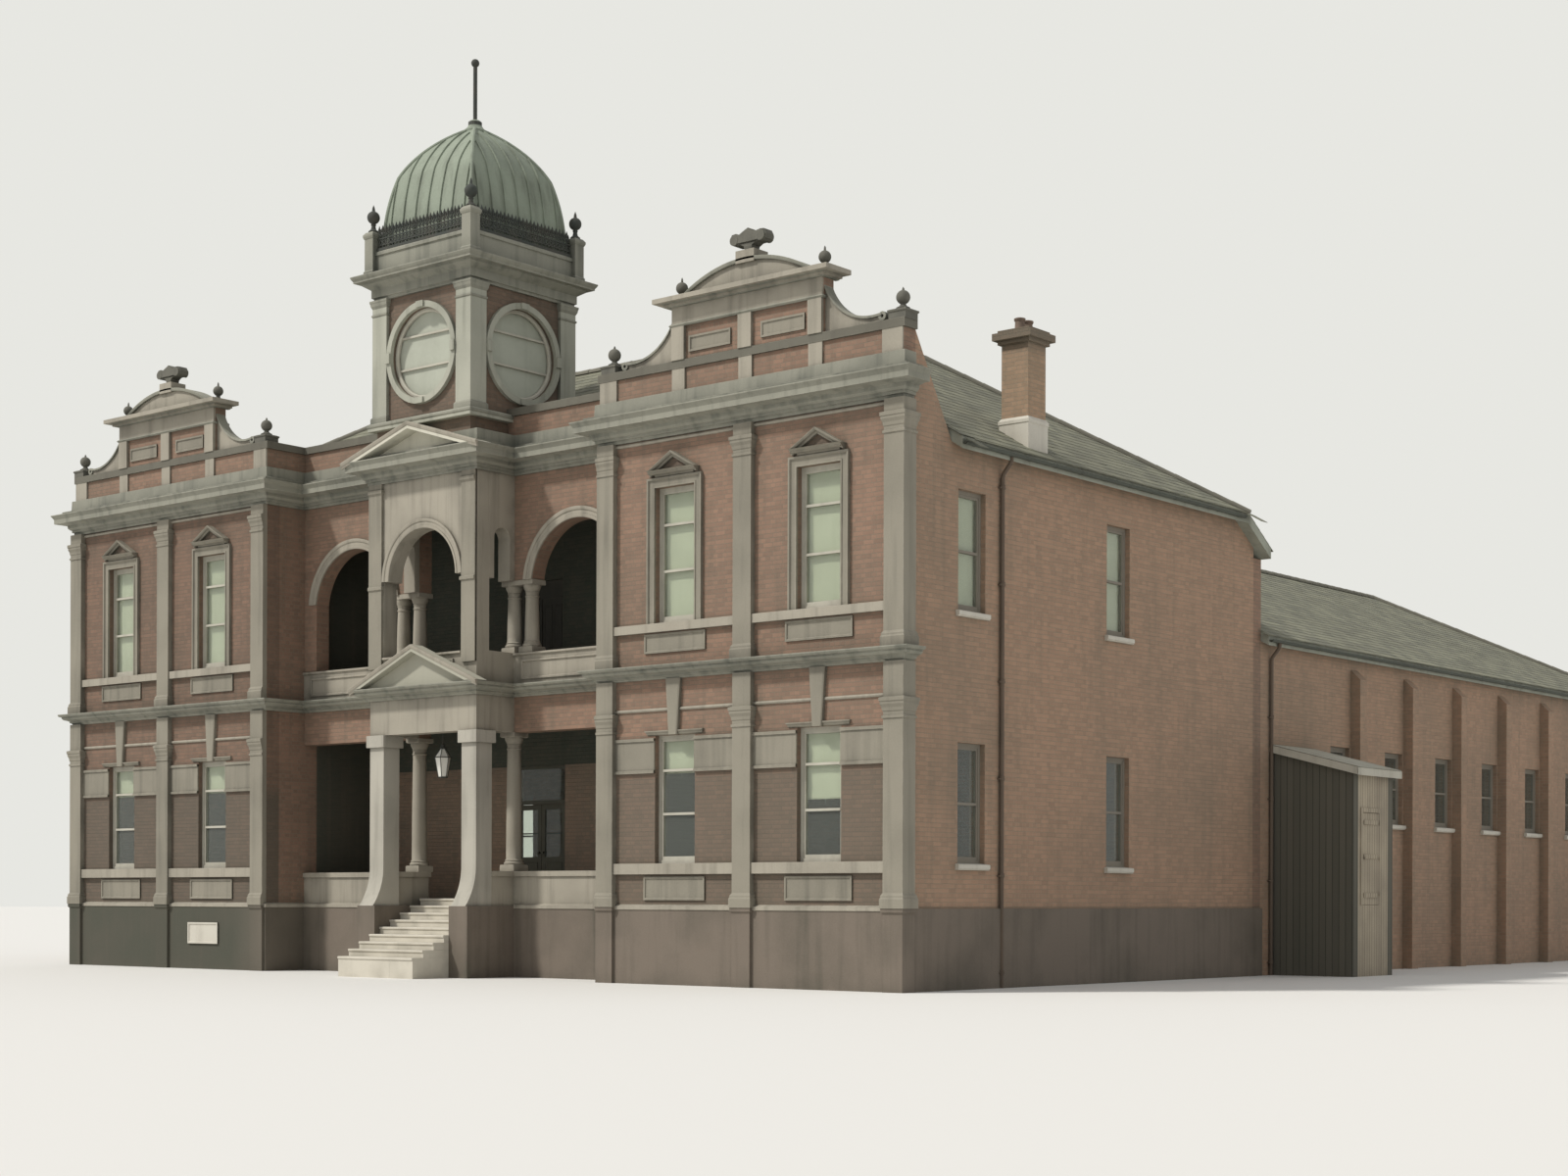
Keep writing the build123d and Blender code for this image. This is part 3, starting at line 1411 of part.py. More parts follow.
with BuildPart() as lean_to_door:
    block(
        (lean_outer - door_thickness, lean_outer), (lean_door_y[0] + door_gap, lean_door_y[1] - door_gap),
        (hall_floor_top + door_gap, lean_door_top - door_gap),
    )
    knob(side_plane(lean_outer), lean_door_y[0] + door_gap + knob_inset, hall_floor_top + knob_height)
    for level in hinge_levels:
        moving_y = (lean_axis[1] - hinge_plate, lean_axis[1])
        hinge_half(lean_axis, lean_plate_x, moving_y, *moving_half(hall_floor_top + level))
save(lean_to_door, "lean_to_door")

# Lantern hanging in the porch
with BuildPart() as lantern:
    faces = []
    for drop, radius in zip(lantern_drops, lantern_radii):
        with BuildSketch(Plane.XY.offset(upper_floor_bottom - drop)) as ring:
            with Locations((0, lantern_y)):
                RegularPolygon(radius, 6)
        faces.append(ring.sketch.face())
    loft(faces[:2])
    loft(faces[1:])
    half = lantern_rod_half
    rod_bottom = upper_floor_bottom - lantern_drops[-1] - half
    block((-half, half), (lantern_y - half, lantern_y + half), (rod_bottom, upper_floor_bottom))
save(lantern, "lantern")

# Gutters along the side eaves and the hall, and downpipes
with BuildPart() as rain_goods:
    lip = side_eave - eave_overhang * roof_slope + gutter_lift
    for side in both:
        edge = wall_half + eave_overhang
        block((side * edge, side * (edge + gutter)), (ramp_foot, knee), (lip, lip + gutter))
    hall_lip = hall_eave - hall_overhang * hall_slope + gutter_lift
    block(
        (hall_right + hall_overhang, hall_right + hall_overhang + gutter),
        (main_depth + gutter_lift, hall_back), (hall_lip, hall_lip + gutter),
    )
    block(
        (hall_left - hall_overhang - gutter, hall_left - hall_overhang),
        (main_depth + hall_gutter_start, hall_back), (hall_lip, hall_lip + gutter),
    )
    for side in both:
        face = wall_half + plinth_out
        block(
            (side * face, side * (face + downpipe)), (downpipe_y - downpipe / 2, downpipe_y + downpipe / 2),
            (0, side_eave - roof_thickness),
        )
save(rain_goods, "rain_goods")
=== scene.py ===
"""A two-storey brick civic building with a domed tower, an arcaded porch and a long hall behind.

Metres, in the part's own frame: +X right along the front, +Y back into the building, +Z up.
"""
import json
import math

import bmesh
import bpy
from mathutils import Matrix, Vector


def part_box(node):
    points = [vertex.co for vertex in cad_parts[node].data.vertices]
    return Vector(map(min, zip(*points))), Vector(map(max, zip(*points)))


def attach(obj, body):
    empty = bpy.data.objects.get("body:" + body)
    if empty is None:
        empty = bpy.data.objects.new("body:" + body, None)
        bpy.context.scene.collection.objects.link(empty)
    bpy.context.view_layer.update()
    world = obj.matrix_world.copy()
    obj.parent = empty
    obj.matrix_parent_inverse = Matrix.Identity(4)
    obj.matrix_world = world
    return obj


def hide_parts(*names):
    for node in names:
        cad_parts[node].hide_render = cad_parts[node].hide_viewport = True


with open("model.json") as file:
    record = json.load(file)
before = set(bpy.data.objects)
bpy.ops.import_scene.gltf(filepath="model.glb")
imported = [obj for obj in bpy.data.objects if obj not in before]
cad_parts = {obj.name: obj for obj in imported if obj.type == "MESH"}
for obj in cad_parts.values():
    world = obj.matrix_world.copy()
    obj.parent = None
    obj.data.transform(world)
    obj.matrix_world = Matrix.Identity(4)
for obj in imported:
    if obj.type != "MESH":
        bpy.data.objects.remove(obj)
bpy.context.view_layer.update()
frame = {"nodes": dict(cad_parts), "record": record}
scene = bpy.context.scene

# Places taken from the frame
WALL_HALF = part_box("right_side_wall")[1].x
MAIN_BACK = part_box("rear_wall")[1].y
PLINTH_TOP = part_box("main_plinth")[1].z
PAVILION_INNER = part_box("right_front_wall")[0].x
CENTRE_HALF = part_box("centre_arch_wall")[1].x
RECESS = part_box("right_arch_wall")[0].y
BEAM_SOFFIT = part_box("right_arch_wall")[0].z
STRING_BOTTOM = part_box("string_course")[0].z
STRING_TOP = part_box("string_course")[1].z
CORNICE_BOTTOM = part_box("main_cornice")[0].z
COPING_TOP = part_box("parapet_copings")[1].z
PORCH_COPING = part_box("porch_balustrades")[1].z
DOME_LOW, DOME_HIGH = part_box("tower_dome")
TOWER_MIDDLE = (DOME_LOW.y + DOME_HIGH.y) / 2
TOWER_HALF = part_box("tower_side_walls")[1].x
HALL_LOW, HALL_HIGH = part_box("hall_side_walls")
SIDES = (1, -1)
CORNERS = [(a, b) for a in SIDES for b in SIDES]

# Sizes of the front, as in the part's source
WALL = 0.36
PILASTER_X = (12.775, 9.165, 5.555)
PILASTER_HALF = 0.225
PILASTER_OUT = 0.12
WINDOW_X = (10.97, 7.36)
WINDOW_HALF = 0.525
GROUND_HEAD = 4.90
UPPER_SILL, UPPER_HEAD = 7.10, 9.77
LOGGIA_COPING = 6.95
ARCH_SPRING = 8.50
RETURN = 0.26
COLUMN_X, COLUMN_STEP = 1.52, 0.54
COLUMN_Y = RECESS + WALL / 2
ARCH_CENTRE, ARCH_HALF, ARCH_CROWN = 3.57, 1.33, 9.68
CENTRE_ARCH_HALF, CENTRE_ARCH_SPRING = 1.07, 8.60
ATTIC_HALF = 1.88
CLOCK_HEIGHT, CLOCK_RADIUS = 13.45, 0.97

# The photograph's camera: place, turn and lens
CAMERA_PLACE = (37.99, -33.72, 1.67)
CAMERA_TURN = 39.4
CAMERA_ROLL = 0.18
CAMERA_LENS = 53.4
CAMERA_SHIFT = (-0.004, 0.199)


# ---------------------------------------------------------------- nodes

def feed(tree, socket, value):
    """Gives a socket a plain value, a colour or another socket's result."""
    if isinstance(value, bpy.types.NodeSocket):
        tree.links.new(value, socket)
    elif isinstance(value, tuple) and socket.type == "RGBA":
        socket.default_value = (*value, 1)
    else:
        socket.default_value = value


def add_node(tree, kind, inputs=None, **settings):
    """A node with its settings, and its inputs fed by name or number."""
    node = tree.nodes.new(kind)
    for word, setting in settings.items():
        setattr(node, word, setting)
    for key, value in (inputs or {}).items():
        feed(tree, node.inputs[key], value)
    return node


def tree_with(kind, name, inputs, outputs):
    """A node tree with its named sockets, and its two end nodes."""
    tree = bpy.data.node_groups.new(name, kind)
    for label, socket_kind, value in inputs:
        socket = tree.interface.new_socket(label, in_out="INPUT", socket_type=socket_kind)
        if value is not None:
            socket.default_value = value
    for label, socket_kind in outputs:
        tree.interface.new_socket(label, in_out="OUTPUT", socket_type=socket_kind)
    return tree, tree.nodes.new("NodeGroupInput"), tree.nodes.new("NodeGroupOutput")


def maths(tree, operation, first, second=None):
    """A Math node on two values or sockets; its result."""
    given = {0: first} if second is None else {0: first, 1: second}
    return add_node(tree, "ShaderNodeMath", given, operation=operation).outputs[0]


def blend_colours(tree, amount, first, second):
    """A mix of two colours or sockets; its result."""
    return add_node(tree, "ShaderNodeMix", {0: amount, 6: first, 7: second}, data_type="RGBA").outputs[2]


def spread(tree, value, low, high):
    """A value taken from low..high to 0..1, held at its ends."""
    given = {"Value": value, "From Min": low, "From Max": high}
    return add_node(tree, "ShaderNodeMapRange", given).outputs["Result"]


def noise_of(tree, place, scale, detail=3.0):
    """Soft noise over a place, from 0 to 1."""
    return add_node(tree, "ShaderNodeTexNoise", {"Vector": place, "Scale": scale, "Detail": detail}).outputs["Fac"]


def object_place(tree):
    """Each point's place on its own piece."""
    return tree.nodes.new("ShaderNodeTexCoord").outputs["Object"]


def parts_of(tree, vector):
    """The X, Y and Z of a vector, as sockets by name."""
    return add_node(tree, "ShaderNodeSeparateXYZ", {0: vector}).outputs


def placed(tree, group, **values):
    """A group in a tree, with its own values; words joined by _ name its sockets."""
    inputs = {word.replace("_", " "): value for word, value in values.items()}
    return add_node(tree, "ShaderNodeGroup", inputs, node_tree=group)


# ---------------------------------------------------------------- shader groups

LEVEL_FACE = 0.8


def wall_place_group():
    """Length along a wall and height up it, for walls along X or Y; on a level face, X and Y."""
    tree, _, out = tree_with("ShaderNodeTree", "wall_place", [], [("Place", "NodeSocketVector")])
    place = parts_of(tree, object_place(tree))
    facing = parts_of(tree, tree.nodes.new("ShaderNodeNewGeometry").outputs["True Normal"])
    across_x, across_y, across_z = [maths(tree, "ABSOLUTE", facing[axis]) for axis in "XYZ"]
    faces_x = maths(tree, "GREATER_THAN", across_x, across_y)
    level = maths(tree, "GREATER_THAN", across_z, LEVEL_FACE)
    along_y = maths(tree, "MULTIPLY", place["Y"], faces_x)
    along_x = maths(tree, "MULTIPLY", place["X"], maths(tree, "SUBTRACT", 1.0, faces_x))
    upright = maths(tree, "MULTIPLY", place["Z"], maths(tree, "SUBTRACT", 1.0, level))
    flat = maths(tree, "MULTIPLY", place["Y"], level)
    ends = {"X": maths(tree, "ADD", along_x, along_y), "Y": maths(tree, "ADD", upright, flat)}
    feed(tree, out.inputs["Place"], add_node(tree, "ShaderNodeCombineXYZ", ends).outputs[0])
    return tree


def brick_bond_group(wall_place):
    """Rows of bricks with mortar joints, each brick a little different."""
    tree, given, out = tree_with(
        "ShaderNodeTree", "brick_bond",
        [("Brick", "NodeSocketColor", (0.5, 0.26, 0.18, 1)), ("Other Brick", "NodeSocketColor", (0.4, 0.2, 0.14, 1)),
         ("Mortar", "NodeSocketColor", (0.5, 0.45, 0.38, 1)), ("Length", "NodeSocketFloat", 0.24),
         ("Course", "NodeSocketFloat", 0.086), ("Joint", "NodeSocketFloat", 0.006)],
        [("Colour", "NodeSocketColor"), ("Height", "NodeSocketFloat")],
    )
    place = placed(tree, wall_place).outputs["Place"]
    inputs = {"Scale": 1.0, "Mortar Smooth": 0.3, "Vector": place}
    for label, socket in (("Brick", "Color1"), ("Other Brick", "Color2"), ("Mortar", "Mortar"),
                          ("Length", "Brick Width"), ("Course", "Row Height"), ("Joint", "Mortar Size")):
        inputs[socket] = given.outputs[label]
    bricks = add_node(tree, "ShaderNodeTexBrick", inputs, offset=0.5, squash=0.5, squash_frequency=2)
    grain = noise_of(tree, place, 60.0)
    raised = maths(tree, "SUBTRACT", 1.0, bricks.outputs["Fac"])
    feed(tree, out.inputs["Colour"], bricks.outputs["Color"])
    feed(tree, out.inputs["Height"], maths(tree, "ADD", raised, maths(tree, "MULTIPLY", grain, 0.35)))
    return tree


def weathering_and_shade_group():
    """Soft patches, rain streaks, painted shade in the hollows and fine grain over a base colour."""
    tree, given, out = tree_with(
        "ShaderNodeTree", "weathering",
        [("Colour", "NodeSocketColor", (0.7, 0.7, 0.6, 1)), ("Dirt", "NodeSocketColor", (0.3, 0.28, 0.24, 1)),
         ("Patches", "NodeSocketFloat", 0.25), ("Streaks", "NodeSocketFloat", 0.25), ("Soot", "NodeSocketFloat", 0.5),
         ("Patch Scale", "NodeSocketFloat", 0.6), ("Grain Scale", "NodeSocketFloat", 40.0)],
        [("Colour", "NodeSocketColor"), ("Roughness", "NodeSocketFloat"), ("Height", "NodeSocketFloat")],
    )
    given = given.outputs
    where = object_place(tree)
    upright = add_node(tree, "ShaderNodeMapping", {"Vector": where, "Scale": (5.0, 5.0, 0.35)}).outputs["Vector"]
    patches = spread(tree, noise_of(tree, where, given["Patch Scale"], 5.0), 0.42, 0.72)
    streaks = spread(tree, noise_of(tree, upright, 1.0, 4.0), 0.5, 0.75)
    grain = noise_of(tree, where, given["Grain Scale"], 4.0)
    # Painted shade: the colour darkens where ambient occlusion finds the surface closed in, in hollows and under
    # ledges, broken up by noise
    hollow = add_node(tree, "ShaderNodeAmbientOcclusion", {"Distance": 0.35}, samples=4)
    open_sky = spread(tree, hollow.outputs["AO"], 0.25, 0.95)
    hollow_shade = maths(tree, "MULTIPLY", maths(tree, "SUBTRACT", 1.0, open_sky),
                 spread(tree, noise_of(tree, where, 1.7, 4.0), 0.25, 0.6))
    amount = maths(tree, "ADD", maths(tree, "MULTIPLY", patches, given["Patches"]),
                   maths(tree, "MULTIPLY", streaks, given["Streaks"]))
    amount = maths(tree, "ADD", amount, maths(tree, "MULTIPLY", maths(tree, "SUBTRACT", grain, 0.5), 0.25))
    amount = maths(tree, "ADD", amount, maths(tree, "MULTIPLY", hollow_shade, given["Soot"]))
    amount = maths(tree, "MINIMUM", maths(tree, "MAXIMUM", amount, 0.0), 1.0)
    feed(tree, out.inputs["Colour"], blend_colours(tree, amount, given["Colour"], given["Dirt"]))
    feed(tree, out.inputs["Roughness"], maths(tree, "ADD", 0.72, maths(tree, "MULTIPLY", grain, 0.25)))
    feed(tree, out.inputs["Height"], grain)
    return tree


def edge_wear_and_highlight_group():
    """A mask of 1 along edges, broken up by noise: it marks wear, and on the cornice a painted highlight along the lip.
    """
    tree, given, out = tree_with("ShaderNodeTree", "edge_wear", [("Width", "NodeSocketFloat", 0.02)],
                                 [("Worn", "NodeSocketFloat")])
    rounded = add_node(tree, "ShaderNodeBevel", {"Radius": given.outputs["Width"]}, samples=4)
    plain = tree.nodes.new("ShaderNodeNewGeometry")
    bend = add_node(tree, "ShaderNodeVectorMath", {0: rounded.outputs["Normal"], 1: plain.outputs["Normal"]},
                    operation="DOT_PRODUCT")
    edge = spread(tree, maths(tree, "SUBTRACT", 1.0, bend.outputs["Value"]), 0.02, 0.25)
    broken = spread(tree, noise_of(tree, object_place(tree), 6.0, 4.0), 0.4, 0.6)
    feed(tree, out.inputs["Worn"], maths(tree, "MULTIPLY", edge, broken))
    return tree


def lines_group(wall_place):
    """Narrow grooves at even steps along a wall or floor, as between boards or sheets."""
    tree, given, out = tree_with(
        "ShaderNodeTree", "board_lines", [("Step", "NodeSocketFloat", 0.15), ("Groove", "NodeSocketFloat", 0.06)],
        [("Groove", "NodeSocketFloat"), ("Board", "NodeSocketFloat")],
    )
    along = parts_of(tree, placed(tree, wall_place).outputs["Place"])["X"]
    count = maths(tree, "DIVIDE", along, given.outputs["Step"])
    within = maths(tree, "FLOORED_MODULO", count, 1.0)
    edge = maths(tree, "MINIMUM", within, maths(tree, "SUBTRACT", 1.0, within))
    tone = add_node(tree, "ShaderNodeTexWhiteNoise", noise_dimensions="1D")
    feed(tree, tone.inputs["W"], maths(tree, "FLOOR", count))
    feed(tree, out.inputs["Groove"], maths(tree, "LESS_THAN", edge, given.outputs["Groove"]))
    feed(tree, out.inputs["Board"], tone.outputs["Value"])
    return tree


WALL_PLACE = wall_place_group()
BRICK_BOND = brick_bond_group(WALL_PLACE)
BOARD_LINES = lines_group(WALL_PLACE)
WEATHERING_AND_SHADE = weathering_and_shade_group()
EDGE_WEAR_AND_HIGHLIGHT = edge_wear_and_highlight_group()


# ---------------------------------------------------------------- materials

def new_material(name):
    """A fresh material with its tree and its main shader."""
    material = bpy.data.materials.new(name)
    material.use_nodes = True
    tree = material.node_tree
    return material, tree, tree.nodes["Principled BSDF"]


def raise_surface(tree, shader, height, distance, strength=1.0):
    """Relief on a shader from a height."""
    bump = add_node(tree, "ShaderNodeBump", {"Distance": distance, "Strength": strength, "Height": height})
    feed(tree, shader.inputs["Normal"], bump.outputs["Normal"])


def finished(tree, shader, worn_and_shaded, height, relief):
    """Colour and roughness from weather marks and painted shade, and relief from a height."""
    feed(tree, shader.inputs["Base Color"], worn_and_shaded.outputs["Colour"])
    feed(tree, shader.inputs["Roughness"], worn_and_shaded.outputs["Roughness"])
    raise_surface(tree, shader, height, relief)


def shaded(tree, base, shade):
    """The base turning to another colour along an axis: (axis, starts at, full at, how much, colour)."""
    if not shade:
        return base
    axis, start, full, much, colour = shade
    turning = spread(tree, parts_of(tree, object_place(tree))[axis], start, full)
    return blend_colours(tree, maths(tree, "MULTIPLY", turning, much), base, colour)


def weathered_and_shaded(name, colour, dirt_and_shade, patches=0.25, streaks=0.25, patch_scale=0.6, grain_scale=40.0, relief=0.002,
              hollow_shade=0.5, edge=None, shade=None):
    """A painted, rendered or stone surface with weather marks and painted shade in its hollows, and edges of another
    colour for wear, which on the cornice also paint a highlight.
    """
    material, tree, shader = new_material(name)
    base = colour
    if edge:
        base = blend_colours(tree, placed(tree, EDGE_WEAR_AND_HIGHLIGHT, Width=0.02).outputs["Worn"], colour, edge)
    worn_and_shaded = placed(tree, WEATHERING_AND_SHADE, Colour=shaded(tree, base, shade), Dirt=dirt_and_shade, Patches=patches, Streaks=streaks,
                  Soot=hollow_shade, Patch_Scale=patch_scale, Grain_Scale=grain_scale)
    finished(tree, shader, worn_and_shaded, worn_and_shaded.outputs["Height"], relief)
    return material


def brickwork(name, brick, other, mortar, dirt_and_shade, patches=0.4, hollow_shade=0.6, shade=None):
    """Faded brickwork, with painted shade in its hollows."""
    material, tree, shader = new_material(name)
    bond = placed(tree, BRICK_BOND, Brick=brick, Other_Brick=other, Mortar=mortar)
    worn_and_shaded = placed(tree, WEATHERING_AND_SHADE, Colour=shaded(tree, bond.outputs["Colour"], shade), Dirt=dirt_and_shade, Patches=patches,
                  Streaks=0.3, Soot=hollow_shade, Patch_Scale=0.35)
    finished(tree, shader, worn_and_shaded, bond.outputs["Height"], 0.006)
    return material


def brighter(colours, factor):
    """Every colour of a finish, made lighter or darker."""
    return [tuple(factor * part for part in colour) for colour in colours]


def slate_finish():
    """Slates, each with its own tone kept on the mesh."""
    material, tree, shader = new_material("roof_slate")
    tone = add_node(tree, "ShaderNodeAttribute", attribute_name="slate_tone")
    base = blend_colours(tree, tone.outputs["Fac"], (0.135, 0.136, 0.103), (0.235, 0.233, 0.167))
    worn_and_shaded = placed(tree, WEATHERING_AND_SHADE, Colour=base, Dirt=(0.125, 0.12, 0.085), Patches=0.45, Streaks=0.15, Soot=0.3,
                  Patch_Scale=0.5, Grain_Scale=25.0)
    finished(tree, shader, worn_and_shaded, worn_and_shaded.outputs["Height"], 0.003)
    return material


def boarded(name, light, dark, dirt_and_shade, step, groove=0.05):
    """Boards side by side, each of its own tone, with grooves between them."""
    material, tree, shader = new_material(name)
    lines = placed(tree, BOARD_LINES, Step=step, Groove=groove).outputs
    board = blend_colours(tree, lines["Board"], light, dark)
    base = blend_colours(tree, lines["Groove"], board, tuple(0.4 * c for c in dark))
    worn_and_shaded = placed(tree, WEATHERING_AND_SHADE, Colour=base, Dirt=dirt_and_shade, Patches=0.3, Streaks=0.2, Patch_Scale=1.2)
    height = maths(tree, "SUBTRACT", maths(tree, "MULTIPLY", worn_and_shaded.outputs["Height"], 0.3), lines["Groove"])
    finished(tree, shader, worn_and_shaded, height, 0.004)
    return material


def window_glass(name, tint, roughness, through):
    """Old glass, a little uneven, that lets daylight through to what hangs behind it."""
    material, tree, shader = new_material(name)
    for label, value in (("Base Color", tint), ("Roughness", roughness), ("IOR", 1.3),
                         ("Transmission Weight", through)):
        feed(tree, shader.inputs[label], value)
    raise_surface(tree, shader, noise_of(tree, object_place(tree), 1.3, 2.0), 0.01, 0.3)
    clear = add_node(tree, "ShaderNodeBsdfTransparent", {"Color": tint})
    path = tree.nodes.new("ShaderNodeLightPath").outputs
    unseen = maths(tree, "MAXIMUM", path["Is Shadow Ray"], path["Is Diffuse Ray"])
    daylight = add_node(tree, "ShaderNodeMixShader", {0: unseen, 1: shader.outputs[0], 2: clear.outputs[0]})
    feed(tree, tree.nodes["Material Output"].inputs["Surface"], daylight.outputs[0])
    return material


PAINTED = (1.2, 30.0, 0.001)  # patch scale, grain scale and relief of paint
FADED = ((0.315, 0.192, 0.132), (0.235, 0.15, 0.105), (0.255, 0.205, 0.15), (0.13, 0.11, 0.08))
BRICK = brickwork("faded_brick", *FADED)
LOW_SOOT = ("Z", 4.33, 4.03, 0.55, (0.078, 0.083, 0.066))
FRONT_BRICK = brickwork("front_brick", *FADED, shade=LOW_SOOT)
LEFT_BRICK = brickwork("left_front_brick", *brighter(FADED, 0.74), shade=LOW_SOOT)
# Painted light: brick paler than the front's, so that the side walls of the main block and hall, which lie in shade,
# come out as bright as the front
SIDE_BRICK_PAINTED_LIGHT = brickwork("side_brick", (0.425, 0.268, 0.178), (0.33, 0.215, 0.145), (0.36, 0.29, 0.205),
                       (0.19, 0.16, 0.115))
CHIMNEY_BRICK = brickwork("chimney_brick", (0.425, 0.278, 0.178), (0.33, 0.225, 0.145), (0.36, 0.29, 0.205),
                          (0.19, 0.16, 0.115), shade=("Z", 12.35, 12.6, 0.75, (0.10, 0.095, 0.075)))
# Painted shade: the return walls turn near black-green behind Y 1.44, inside the loggia
RETURN_BRICK = brickwork("return_brick", *brighter(FADED, 0.95), shade=("Y", 1.44, 1.48, 0.88, (0.036, 0.052, 0.040)))
# Painted shade: the porch's back walls turn green-black upwards from Z 4.2, under the porch ceiling
PORCH_BRICK = brickwork("porch_brick", (0.33, 0.225, 0.155), (0.25, 0.18, 0.128), (0.27, 0.23, 0.17),
                        (0.14, 0.13, 0.10), 0.5, 0.6, shade=("Z", 4.2, 5.6, 0.6, (0.04, 0.05, 0.038)))
TOWER_BRICK = brickwork("tower_brick", (0.20, 0.135, 0.095), (0.15, 0.105, 0.075), (0.16, 0.135, 0.10),
                        (0.08, 0.07, 0.052), 0.5, 0.8)
SHADED_BRICK = brickwork("shaded_brick", (0.085, 0.082, 0.06), (0.062, 0.07, 0.052), (0.075, 0.085, 0.065),
                         (0.032, 0.045, 0.034), 0.5, 0.8)
STUCCO = weathered_and_shaded("painted_stucco", (0.385, 0.352, 0.285), (0.145, 0.135, 0.108), 0.38, 0.42, hollow_shade=0.95,
                   edge=(0.50, 0.46, 0.38))
PILASTER_STUCCO = weathered_and_shaded("pilaster_stucco", (0.285, 0.262, 0.208), (0.12, 0.112, 0.088), 0.38, 0.42, hollow_shade=0.95,
                            edge=(0.44, 0.41, 0.34))
# Painted light: stucco much paler than the rest, so that the upper pediment's tympanum, in the raking moulding's
# shadow, comes out pale; below Z 8.5 it turns darker, for the porch pediment
PALE_STUCCO = weathered_and_shaded("pale_stucco", (0.62, 0.60, 0.50), (0.34, 0.33, 0.26), 0.3, 0.3, hollow_shade=0.2,
                        shade=("Z", 8.5, 7.5, 0.7, (0.32, 0.315, 0.25)))
PIER_STUCCO = weathered_and_shaded("pier_stucco", (0.46, 0.435, 0.37), (0.19, 0.18, 0.15), 0.35, 0.4, hollow_shade=0.8,
                        edge=(0.56, 0.53, 0.46))
TOWER_STUCCO = weathered_and_shaded("tower_stucco", (0.43, 0.43, 0.355), (0.17, 0.175, 0.14), 0.4, 0.4, hollow_shade=0.7,
                         edge=(0.52, 0.51, 0.43))
# The lighter edge colour here is wear, and partly a painted highlight along the cornice's lip
CORNICE_STUCCO = weathered_and_shaded("cornice_stucco", (0.30, 0.295, 0.24), (0.105, 0.11, 0.09), 0.45, 0.45, hollow_shade=1.0,
                           edge=(0.50, 0.48, 0.41))
COPING = weathered_and_shaded("coping_render", (0.15, 0.142, 0.112), (0.08, 0.072, 0.056), 0.4, 0.3, hollow_shade=0.8,
                   edge=(0.36, 0.34, 0.28))
PLINTH = weathered_and_shaded("plinth_render", (0.185, 0.152, 0.12), (0.09, 0.08, 0.06), 0.5, 0.4, 0.8, hollow_shade=0.7,
                   shade=("X", -4.5, -6.5, 0.9, (0.055, 0.06, 0.042)))
STONE = weathered_and_shaded("step_stone", (0.64, 0.60, 0.51), (0.34, 0.315, 0.255), 0.35, 0.1, 1.5, edge=(0.66, 0.63, 0.55))
SLATE = slate_finish()
SHEET_METAL = weathered_and_shaded("roof_sheet", (0.28, 0.32, 0.25), (0.14, 0.155, 0.12), 0.45, 0.55, 0.9, 20.0, 0.001, 0.3)
BOARDS = boarded("floor_boards", (0.24, 0.18, 0.125), (0.17, 0.125, 0.085), (0.08, 0.06, 0.045), 0.15)
PALE_PAINT = weathered_and_shaded("pale_paint", (0.52, 0.50, 0.42), (0.22, 0.20, 0.16), 0.25, 0.25, *PAINTED)
WINDOW_PAINT = weathered_and_shaded("window_paint", (0.52, 0.50, 0.42), (0.22, 0.20, 0.16), 0.25, 0.25, *PAINTED,
                         shade=("Y", 0.6, 0.9, 0.72, (0.13, 0.105, 0.08)))
DARK_PAINT = weathered_and_shaded("dark_paint", (0.05, 0.05, 0.042), (0.10, 0.09, 0.07), 0.4, 0.2, *PAINTED)
DARK_BOARDS = boarded("dark_boards", (0.13, 0.122, 0.094), (0.095, 0.092, 0.07), (0.11, 0.10, 0.08), 0.16)
PALE_BOARDS = boarded("pale_boards", (0.46, 0.395, 0.29), (0.37, 0.315, 0.235), (0.12, 0.10, 0.08), 0.12, 0.06)
IRON = weathered_and_shaded("painted_iron", (0.045, 0.052, 0.046), (0.10, 0.08, 0.06), 0.35, 0.1, 3.0, 60.0, 0.001, 0.2)
GUTTER = weathered_and_shaded("gutter_paint", (0.085, 0.095, 0.078), (0.05, 0.05, 0.042), 0.35, 0.3, *PAINTED)
EAVE_PAINT = weathered_and_shaded("eave_paint", (0.36, 0.375, 0.31), (0.15, 0.15, 0.12), 0.3, 0.3, *PAINTED)
BLIND = weathered_and_shaded("blind_cloth", (0.66, 0.64, 0.55), (0.46, 0.44, 0.36), 0.3, 0.2, 1.5, 220.0, 0.0006, 0.1)
GLASS = window_glass("window_glass", (0.82, 0.86, 0.80), 0.02, 0.95)
LAMP_GLASS = weathered_and_shaded("lamp_glass", (0.80, 0.79, 0.72), (0.55, 0.54, 0.47), 0.2, 0.1, 1.0, 12.0, 0.0005, 0.1)
OPAL = weathered_and_shaded("opal_glass", (0.46, 0.48, 0.40), (0.30, 0.31, 0.25), 0.4, 0.2, 1.0, 12.0, 0.0005, 0.5)
RIDGE_TILE = weathered_and_shaded("ridge_tile", (0.20, 0.19, 0.15), (0.10, 0.095, 0.075), 0.4, 0.2, 1.5, hollow_shade=0.3)
PIPE_PAINT = weathered_and_shaded("pipe_paint", (0.135, 0.10, 0.072), (0.07, 0.055, 0.042), 0.35, 0.3, *PAINTED)
SILL_PAINT = weathered_and_shaded("sill_paint", (0.62, 0.59, 0.51), (0.28, 0.25, 0.20), 0.2, 0.2, 1.5, hollow_shade=0.3)
DOOR_PAINT = weathered_and_shaded("door_paint", (0.10, 0.10, 0.075), (0.05, 0.045, 0.036), 0.3, 0.2, *PAINTED)
